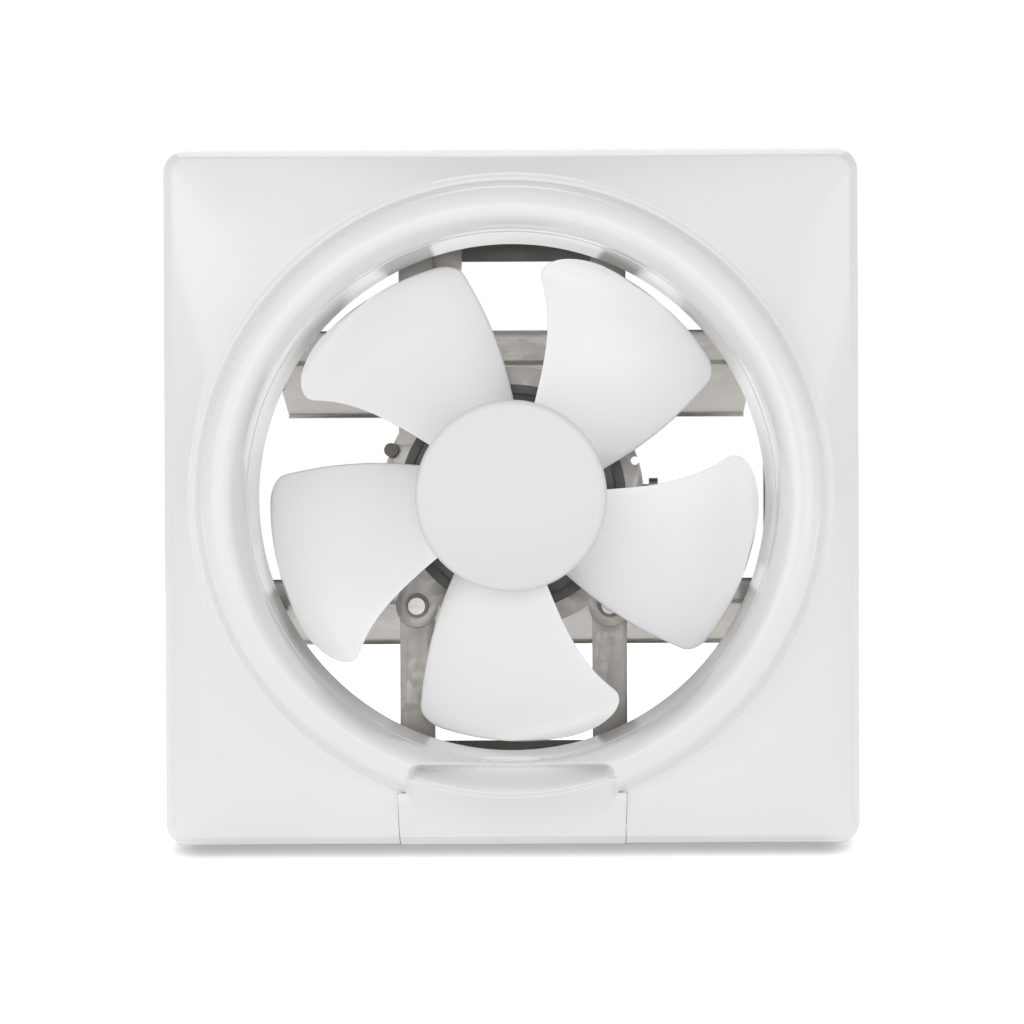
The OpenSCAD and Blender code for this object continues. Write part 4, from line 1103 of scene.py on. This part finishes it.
class EXHAUST_OT_louvres(bpy.types.Operator):
    """Makes the two bent-sheet louvres with their end tabs."""

    bl_idname = "exhaust_fan.louvres"
    bl_label = "Louvres"

    def execute(self, context):
        upper = louvre_sheet("upper_louvre_sheet", PIVOT_Z, lug=True)
        stands_for(upper, "top_louvre", "louvre_upper")
        lower = louvre_sheet("lower_louvre_sheet", -PIVOT_Z, lug=False)
        stands_for(lower, "bottom_louvre", "louvre_lower")
        return {"FINISHED"}


# Finishes of the nodes that keep their own solids

NODE_FINISHES = {
    "zinc": ("duct_frame", "side_bracket_left", "side_bracket_right", "stay_left", "stay_right",
             "capacitor_bracket", "capacitor_clamp", "terminal_box", "terminal_cover",
             "link_bar", "crank", "push_rod", "actuator_bracket"),
    # The rails' finish is the darker copy of the zinc sheet, painted shade
    "rail": ("rear_rail_top", "rear_rail_bottom"),
    "plate": ("motor_plate",),
    "screw": ("pivot_pins", "stay_screws", "plate_screws", "front_bearing", "rear_bearing",
              "motor_shaft", "drive_pin", "push_rod_pin", "link_pin_upper", "link_pin_lower",
              "actuator_shaft", "panel_clips"),
    "dark_screw": ("pivot_clips", "motor_bolts", "earth_screw"),
    "motor": ("motor_front_shell", "motor_rear_shell"),
    "core": ("stator_core", "rotor"),
    "copper": ("stator_windings",),
    "rubber": ("cable_gland",),
    "grommet": ("plate_grommets",),
    "case": ("capacitor",),
    "light_case": ("actuator_body",),
    "nylon": ("impeller_nut", "louvre_bushes_upper", "louvre_bushes_lower", "lead_clips"),
    "sheath": ("motor_lead",),
}

# Pieces whose edges are eased, with the rounding
EASED_NODES = {
    "duct_frame": 0.3, "side_bracket_left": 0.25, "side_bracket_right": 0.25, "stay_left": 0.6,
    "stay_right": 0.6, "motor_plate": 0.4, "capacitor_bracket": 0.3, "capacitor_clamp": 0.3,
    "terminal_box": 0.8, "terminal_cover": 0.4, "link_bar": 0.3, "crank": 0.3, "push_rod": 0.3,
    "actuator_bracket": 0.3, "rear_rail_top": 0.3, "rear_rail_bottom": 0.3, "capacitor": 1.2,
    "actuator_body": 0.8, "cable_gland": 0.5, "lead_clips": 0.5,
}


def body_of_node(node):
    for body, nodes in frame["record"]["behaviour"]["bodies"].items():
        if node in nodes:
            return body
    raise RuntimeError("no body holds the node " + node)


class EXHAUST_OT_steelwork(bpy.types.Operator):
    """Gives the duct, stays, motor, screws and small pieces their finishes and eased edges."""

    bl_idname = "exhaust_fan.steelwork"
    bl_label = "Duct, motor and fittings"

    def execute(self, context):
        for finish, names in NODE_FINISHES.items():
            for name in names:
                if name in EASED_NODES:
                    piece = eased_copy(name, finish, EASED_NODES[name])
                    stands_for(piece, body_of_node(name), name)
                else:
                    node = frame["nodes"][name]
                    node.data.materials.clear()
                    node.data.materials.append(MATERIALS[finish])
        return {"FINISHED"}


# Stage, in metres

CAMERA_DISTANCE = 1.3
CAMERA_ASIDE = 0.020
CAMERA_BELOW = 0.020
CAMERA_ROLL = math.radians(0.25)
PIXEL = 0.5052 * MM
RAISED_PIXELS = 15.5
FLOOR_Z = -0.175
FLOOR_HALF = 6.0
FLOOR_GREY = (0.62, 0.62, 0.62, 1.0)
WHITE = (1.0, 1.0, 1.0, 1.0)
# The floor glows white but for a painted contact shadow, a patch where the glow is withheld so that
# the grey floor shows there with its real shadow; the patch is whole along this half width in x and
# gone after 1 / 32 m more in x or 1 / 11.5 m in y
SHADOW_HALF = 0.15
SHADOW_FADE = (32.0, 11.5, 0.0)
# Name, place, width and height, and share of the lamp power
LAMPS = (
    ("lamp_left", (-0.95, -1.2, 0.10), (0.8, 1.0), 0.95),
    ("lamp_right", (1.15, -1.0, 0.05), (0.8, 1.0), 0.75),
    ("lamp_front", (-0.15, -2.0, 0.35), (1.2, 0.9), 1.4),
    ("lamp_back", (0.0, 0.7, 0.9), (1.2, 0.6), 0.55),
)


def add_camera(scene):
    """The photo's view: level, a little right of the fan axis and a little below it."""
    lens = bpy.data.cameras.new("camera")
    camera = bpy.data.objects.new("camera", lens)
    scene.collection.objects.link(camera)
    field = IMAGE_SIZE * PIXEL
    lens.sensor_fit = "HORIZONTAL"
    lens.angle = 2 * math.atan(field / 2 / CAMERA_DISTANCE)
    lens.shift_x = -CAMERA_ASIDE / field
    lens.shift_y = CAMERA_BELOW / field - RAISED_PIXELS / IMAGE_SIZE
    lens.clip_start = 0.05
    camera.location = (CAMERA_ASIDE, -CAMERA_DISTANCE, -CAMERA_BELOW)
    camera.rotation_euler = (math.radians(90), CAMERA_ROLL, 0)
    scene.camera = camera


def floor_material():
    """A floor that shows white but for a painted contact shadow at the fan's foot, laid over the
    real one, and throws up a plain light.
    """
    s = Shader("floor_white")
    ray = s.light_path("Is Camera Ray")
    mirror = s.light_path("Is Glossy Ray") + s.light_path("Is Transmission Ray")
    mirror = mirror.between(0.0, 1.0)
    # Painted contact shadow: the white glow is withheld in a patch round the fan's foot and comes
    # back with distance
    apart = s.vector("SUBTRACT", s.vector("ABSOLUTE", s.place()), (SHADOW_HALF, 0.0, 0.0))
    apart = s.vector("MULTIPLY", s.vector("MAXIMUM", apart, (0.0, 0.0, 0.0)), SHADOW_FADE)
    outside_painted_shadow = s.vector("LENGTH", apart, out="Value").between(0.0, 1.0)
    thrown = (1.0 - ray - mirror) * settings().floor_light
    diffuse = s.tree.nodes.new("ShaderNodeBsdfDiffuse")
    diffuse.inputs["Color"].default_value = FLOOR_GREY
    glow = s.tree.nodes.new("ShaderNodeEmission")
    glow.inputs["Color"].default_value = WHITE
    # The glow, and the floor seen in reflections, dims in the painted shadow patch
    s.feed(glow.inputs["Strength"], (ray * outside_painted_shadow + mirror) * outside_painted_shadow + thrown)
    total = s.tree.nodes.new("ShaderNodeAddShader")
    s.tree.links.new(diffuse.outputs[0], total.inputs[0])
    s.tree.links.new(glow.outputs[0], total.inputs[1])
    s.tree.links.new(total.outputs[0], s.output.inputs[0])
    return s.material


def add_floor(scene):
    """The floor that the fan's lower rim stands on."""
    mesh = bpy.data.meshes.new("floor")
    corners = [(x * FLOOR_HALF, y * FLOOR_HALF, FLOOR_Z)
               for x, y in ((-1, -1), (1, -1), (1, 1), (-1, 1))]
    mesh.from_pydata(corners, [], [(0, 1, 2, 3)])
    mesh.materials.append(floor_material())
    floor = bpy.data.objects.new("floor", mesh)
    scene.collection.objects.link(floor)


def add_world(scene):
    """White for the camera, for reflections and through glass; an even room light for the rest."""
    world = bpy.data.worlds.new("studio")
    scene.world = world
    world.use_nodes = True
    tree = world.node_tree
    background = tree.nodes["Background"]
    path = tree.nodes.new("ShaderNodeLightPath")
    seen = path.outputs["Is Camera Ray"]
    for kind in ("Is Glossy Ray", "Is Transmission Ray"):
        either = tree.nodes.new("ShaderNodeMath")
        either.operation = "MAXIMUM"
        tree.links.new(seen, either.inputs[0])
        tree.links.new(path.outputs[kind], either.inputs[1])
        seen = either.outputs[0]
    level = tree.nodes.new("ShaderNodeMapRange")
    tree.links.new(seen, level.inputs["Value"])
    level.inputs["To Min"].default_value = settings().room_light
    level.inputs["To Max"].default_value = 1.0
    background.inputs["Color"].default_value = WHITE
    tree.links.new(level.outputs[0], background.inputs["Strength"])


def add_lamps(scene):
    """Soft area lamps that face the fan's centre."""
    for name, place, size, share in LAMPS:
        light = bpy.data.lights.new(name, "AREA")
        light.shape = "RECTANGLE"
        light.size, light.size_y = size
        light.energy = settings().lamp_power * share
        lamp = bpy.data.objects.new(name, light)
        lamp.location = place
        lamp.rotation_euler = (-Vector(place)).to_track_quat("-Z", "Y").to_euler()
        scene.collection.objects.link(lamp)


class EXHAUST_OT_stage(bpy.types.Operator):
    """Sets the camera, the floor, the white room and soft studio lamps."""

    bl_idname = "exhaust_fan.stage"
    bl_label = "Camera, floor and lamps"

    def execute(self, context):
        scene = context.scene
        add_camera(scene)
        add_floor(scene)
        add_world(scene)
        add_lamps(scene)
        scene.view_settings.view_transform = "Standard"
        return {"FINISHED"}


class EXHAUST_PT_panel(bpy.types.Panel):
    bl_label = "Exhaust fan"
    bl_idname = "EXHAUST_PT_panel"
    bl_space_type = "VIEW_3D"
    bl_region_type = "UI"
    bl_category = "Exhaust fan"

    def draw(self, context):
        for name in ExhaustFanSettings.__annotations__:
            self.layout.prop(context.scene.exhaust_fan, name)
        for operator in OPERATORS:
            self.layout.operator(operator.bl_idname)


OPERATORS = (
    EXHAUST_OT_stage,
    EXHAUST_OT_front_panel,
    EXHAUST_OT_grip_tab,
    EXHAUST_OT_impeller,
    EXHAUST_OT_louvres,
    EXHAUST_OT_steelwork,
)
CLASSES = (ExhaustFanSettings, *OPERATORS, EXHAUST_PT_panel)


def register():
    for cls in CLASSES:
        bpy.utils.register_class(cls)
    bpy.types.Scene.exhaust_fan = PointerProperty(type=ExhaustFanSettings)


def unregister():
    del bpy.types.Scene.exhaust_fan
    for cls in reversed(CLASSES):
        bpy.utils.unregister_class(cls)


def main():
    register()
    make_materials()
    bpy.ops.exhaust_fan.stage()
    bpy.ops.exhaust_fan.front_panel()
    bpy.ops.exhaust_fan.grip_tab()
    bpy.ops.exhaust_fan.impeller()
    bpy.ops.exhaust_fan.louvres()
    bpy.ops.exhaust_fan.steelwork()


if __name__ == "__main__":
    main()
